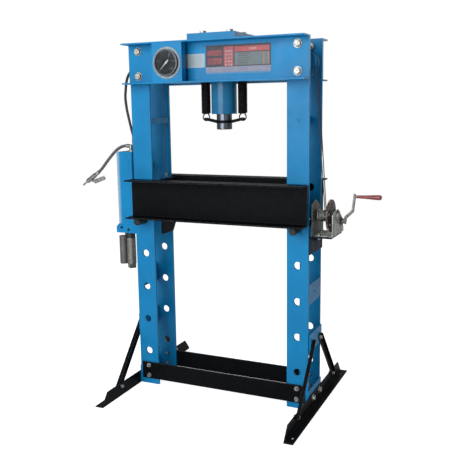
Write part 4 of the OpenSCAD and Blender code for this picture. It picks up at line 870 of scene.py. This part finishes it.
rim_turn = np.linspace(0, 2 * np.pi, 12, endpoint=False)
rim = lathe((GAUGE_X, RIM_Y, GAUGE_Z), TOWARDS, RIM_HALF_DEEP * np.sin(rim_turn) - RIM_SET_BACK,
            RIM_R + RIM_HALF_WIDE * np.cos(rim_turn)[:, None], FINE)
skin("gauge_rim", [rim[::-1]], ROD, "frame", 60, loop=True)
pane = lathe((GAUGE_X, RIM_Y + PANE_SET_BACK, GAUGE_Z), TOWARDS, [0, PANE_T], PANE_R, FINE)
skin("gauge_pane", [pane], GLASS, "frame")
print("rim", 2 * (RIM_R + RIM_HALF_WIDE), "mm across")

# %% [markdown]
# ## The gauge's scale
#
# The scale runs clockwise through 270 degrees from low on the left, from 0 to 50. It has a long mark at every
# tenth value, a short one at every second, and an inner circle of marks. They are flat prints. An image would
# blur close up, so each mark is a thin slab that stands on the dial.

# %% Marks on the dial
FACE_Y, MARK_T = -193, 0.3
SCALE_START, SCALE_SWEEP, SCALE_END = 225, 270, 50
# Inner radius, outer radius and half width of each kind of mark in millimetres
LONG, SHORT, INNER = (46, 56, 1.0), (50, 56, 0.5), (29, 32, 0.5)


def slab(outline, back, front):
    """An outline [corner, (x, z)] at two depths, in millimetres. From the front, it runs anticlockwise."""
    x, z = np.asarray(outline, float).T
    return MM * np.stack([np.stack([x, x * 0 + y, z], 1) for y in (back, front)])


def outwards(value):
    """The direction of a value on the scale: (cos a, sin a), where a = start - sweep * value / end."""
    angle = math.radians(SCALE_START - SCALE_SWEEP * value / SCALE_END)
    return np.array([math.cos(angle), math.sin(angle)])


def mark(value, inner, outer, half):
    """A slab along the radius at a value: its corners are radius * out, and half a width to either side."""
    out = outwards(value)
    across = half * np.array([-out[1], out[0]])
    corners = [inner * out - across, outer * out - across, outer * out + across, inner * out + across]
    return slab(np.array(corners) + [GAUGE_X, GAUGE_Z], FACE_Y, FACE_Y - MARK_T)


marks = [mark(value, *(SHORT if value % 10 else LONG)) for value in range(0, SCALE_END + 1, 2)]
marks += [mark(value, *INNER) for value in range(0, SCALE_END + 1, 5)]
skin("dial_marks", marks, MARKS, "frame")
print(len(marks), "marks on the dial")

# %% [markdown]
# ## Numbers on the dial
#
# The numbers are printed like the marks. A text curve gives their outlines and a little depth. It is made a
# mesh before it gets its place, because the finished piece has to sit at the origin, unturned.

# %% Numbers
NUMBER_R, NUMBER_H, NUMBER_DEPTH, NUMBER_OUT = 39, 11, 0.1, 0.2


def numeral(text, x, z, height):
    """A number as a thin mesh, centred on a place in mm. Its x stays, its y turns to z and its z to -y."""
    letters = bpy.data.curves.new("numeral", "FONT")
    letters.body, letters.size, letters.extrude = text, height * MM, NUMBER_DEPTH * MM
    letters.align_x, letters.align_y = "CENTER", "CENTER"
    flat = bpy.data.objects.new("numeral", letters)
    mesh = bpy.data.meshes.new_from_object(flat)
    points = np.empty(len(mesh.vertices) * 3)
    mesh.vertices.foreach_get("co", points)
    points = points.reshape(-1, 3) @ np.array([[1, 0, 0], [0, 0, 1], [0, -1, 0]])
    mesh.vertices.foreach_set("co", (points + MM * np.array([x, FACE_Y - NUMBER_OUT, z])).ravel())
    mesh.materials.append(MARKS)
    made = bpy.data.objects.new("dial_number_" + text, mesh)
    scene.collection.objects.link(made)
    bpy.data.objects.remove(flat)
    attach(made, "frame")


for value in range(0, SCALE_END + 1, 10):
    x, z = NUMBER_R * outwards(value)
    numeral(str(value), GAUGE_X + x, GAUGE_Z + z, NUMBER_H)
print("numbers up to", SCALE_END)

# %% [markdown]
# ## Printed plates
#
# The plates on the head and the strip under them are thin aluminium, screen-printed in a few flat inks. Here
# they are plain fields of colour and carry no words. A print could be an image on one plate, but fields with
# straight edges stay sharp as slabs. Each ink is a film 0.1 mm thick, a little proud of the one below, so
# nothing flickers where they lie on each other.

# %% Inks on the plates
PLATE_Y, FILM = -114.2, 0.1


def ink(name, boxes, colour, shade, layer):
    """Slabs from boxes of left, lower edge, right and upper edge in millimetres, one layer above the last."""
    front = PLATE_Y - FILM * layer
    films = [slab([(a, b), (c, b), (c, d), (a, d)], front + FILM, front) for a, b, c, d in boxes]
    skin(name, films, finish(name, moulded(colour, shade, 0.4, 3)), "frame")


ink("ink_pale", [(-160, 1688, -48, 1754)], "#97a9b6", "#a0afb8", 1)
ink("ink_pale_field", [(-147, 1697, -66, 1745)], "#95a7aa", "#8da0a6", 2)
ink("ink_dark", [(-42, 1677, 295, 1790)], "#191e2c", "#241f36", 1)
ink("ink_strip", [(-42, 1654, 295, 1665)], "#2b7fb4", "#3a84b2", 1)
ink("ink_lavender", [(-42, 1662, 295, 1688)], "#85879c", "#767a93", 3)
ink("ink_red", [(-33, 1740, 44, 1766), (-33, 1700, 44, 1730)], "#86303a", "#6c2c39", 2)
ink("ink_light_red", [(54, 1690, 104, 1782)], "#a8484f", "#954550", 2)
ink("ink_header", [(110, 1756, 288, 1780)], "#a8454a", "#a03c43", 2)
ink("ink_header_bar", [(185, 1764, 222, 1773)], "#b37f7b", "#ae7771", 3)
ink("ink_grey", [(110, 1693, 288, 1752)], "#4f6a72", "#5d6263", 2)
lines = [(130, z, 178 + 8 * (i % 3), z + 3) for i, z in enumerate((1702, 1713, 1724, 1735, 1745))]
lines += [(-24, z, 34, z + 3) for z in (1744, 1712)]
ink("ink_lines", lines, "#39414a", "#41393f", 3)
fields = [(x, z, x + 8, z + 8) for x in (62, 76, 90) for z in (1692, 1708, 1724, 1740, 1756)]
ink("ink_red_marks", fields, "#a9a0a0", "#8d7c80", 3)
ink("ink_columns", [(256, 1692, 262, 1750), (280, 1692, 286, 1750)], "#8e6a58", "#96705f", 3)
print(len(lines) + len(fields), "small fields on the plates")

# %% [markdown]
# ## Light
#
# One large soft lamp stands in front, a little to the left and above, so the fronts are bright and whatever
# faces right or inwards goes dark. A weak lamp on the right and one behind keep those sides readable, and a
# narrow tube draws the bright line that shows a round glossy cylinder.

# %% Lamps
MIDDLE = Vector((0, 0, 1))


def lamp(name, place, width, height, power):
    """A flat lamp, with its sides in metres and its power in watts, turned to the middle of the press."""
    data = bpy.data.lights.new(name, "AREA")
    data.shape, data.size, data.size_y, data.energy = "RECTANGLE", width, height, power
    made = bpy.data.objects.new(name, data)
    made.location = place
    made.rotation_euler = (MIDDLE - Vector(place)).to_track_quat("-Z", "Y").to_euler()
    scene.collection.objects.link(made)


lamp("key", (-0.7, -3.6, 2.3), 2.8, 2.8, 120)
lamp("fill", (3.2, -2.6, 1.6), 2.2, 2.2, 5)
lamp("back", (1.5, 3.5, 3.0), 2.5, 2.5, 40)
lamp("tube", (0.45, -3.7, 1.7), 0.08, 2.0, 14)
print(len(bpy.data.lights), "lamps")

# %% [markdown]
# ## A white world
#
# A studio's paper sweep is white to the eye, but as a light it would wash out every shade on the press. The
# Light Path node tells the rays apart. Where the camera or glass looks past the press it meets plain white, a
# mirror-like surface meets a share of that, and the light that spreads from there is weak.

# %% World
MIRROR_SHARE = 0.3
SPREAD_LIGHT = 0.2


def looked_at(tree):
    """1 for the camera and through glass, MIRROR_SHARE off a mirror, and 0 where light only spreads."""
    kinds = ("Camera", "Transmission", "Glossy")
    eye, glass, mirror = (add(tree, "LightPath", out=f"Is {kind} Ray") for kind in kinds)
    seen = add(tree, "Math", {0: eye, 1: glass}, operation="MAXIMUM")
    dimmed = add(tree, "Math", {0: mirror, 1: MIRROR_SHARE}, operation="MULTIPLY")
    return add(tree, "Math", {0: seen, 1: dimmed}, operation="MAXIMUM")


world = bpy.data.worlds.new("studio")
scene.world = world
world.use_nodes = True
sky = world.node_tree
strength = add(sky, "MapRange", {0: looked_at(sky), 3: SPREAD_LIGHT, 4: 1.0})
fill(sky, sky.nodes["Background"], {0: linear("#ffffff"), 1: strength})
print(world.name, "lights the press with a strength of", SPREAD_LIGHT)

# %% [markdown]
# ## The floor
#
# The floor is a plain painted one, and it is staging rather than a part of the press. Under these lamps it is
# not quite white. It adds just enough light of its own for that where it is looked at, which leaves the
# shadow of the press on it.

# %% Floor
FLOOR_HALF, FLOOR_DROP = 6.0, 0.0005
FLOOR_GLOW = 0.8

floor_mesh = bpy.data.meshes.new("floor")
corners = np.array([[-1, -1, 0], [1, -1, 0], [1, 1, 0], [-1, 1, 0]]) * FLOOR_HALF - [0, 0, FLOOR_DROP]
floor_mesh.from_pydata(corners.tolist(), [], [(0, 1, 2, 3)])
floor = bpy.data.objects.new("floor", floor_mesh)
scene.collection.objects.link(floor)


def pale_floor(tree):
    """White paint with the faintest mottle, and a glow only where it is looked at."""
    mottle = {0: patches(tree, 300), 6: linear("#f4f4f4"), 7: linear("#f1f1f1")}
    return {
        "Base Color": add(tree, "Mix", mottle, **COLOURS),
        "Roughness": 0.9,
        "Specular IOR Level": 0.0,
        "Emission Color": linear("#ffffff"),
        "Emission Strength": add(tree, "MapRange", {0: looked_at(tree), 3: 0.0, 4: FLOOR_GLOW}),
    }


floor_mesh.materials.append(finish("studio_floor", pale_floor))
print("floor", 2 * FLOOR_HALF, "m wide")
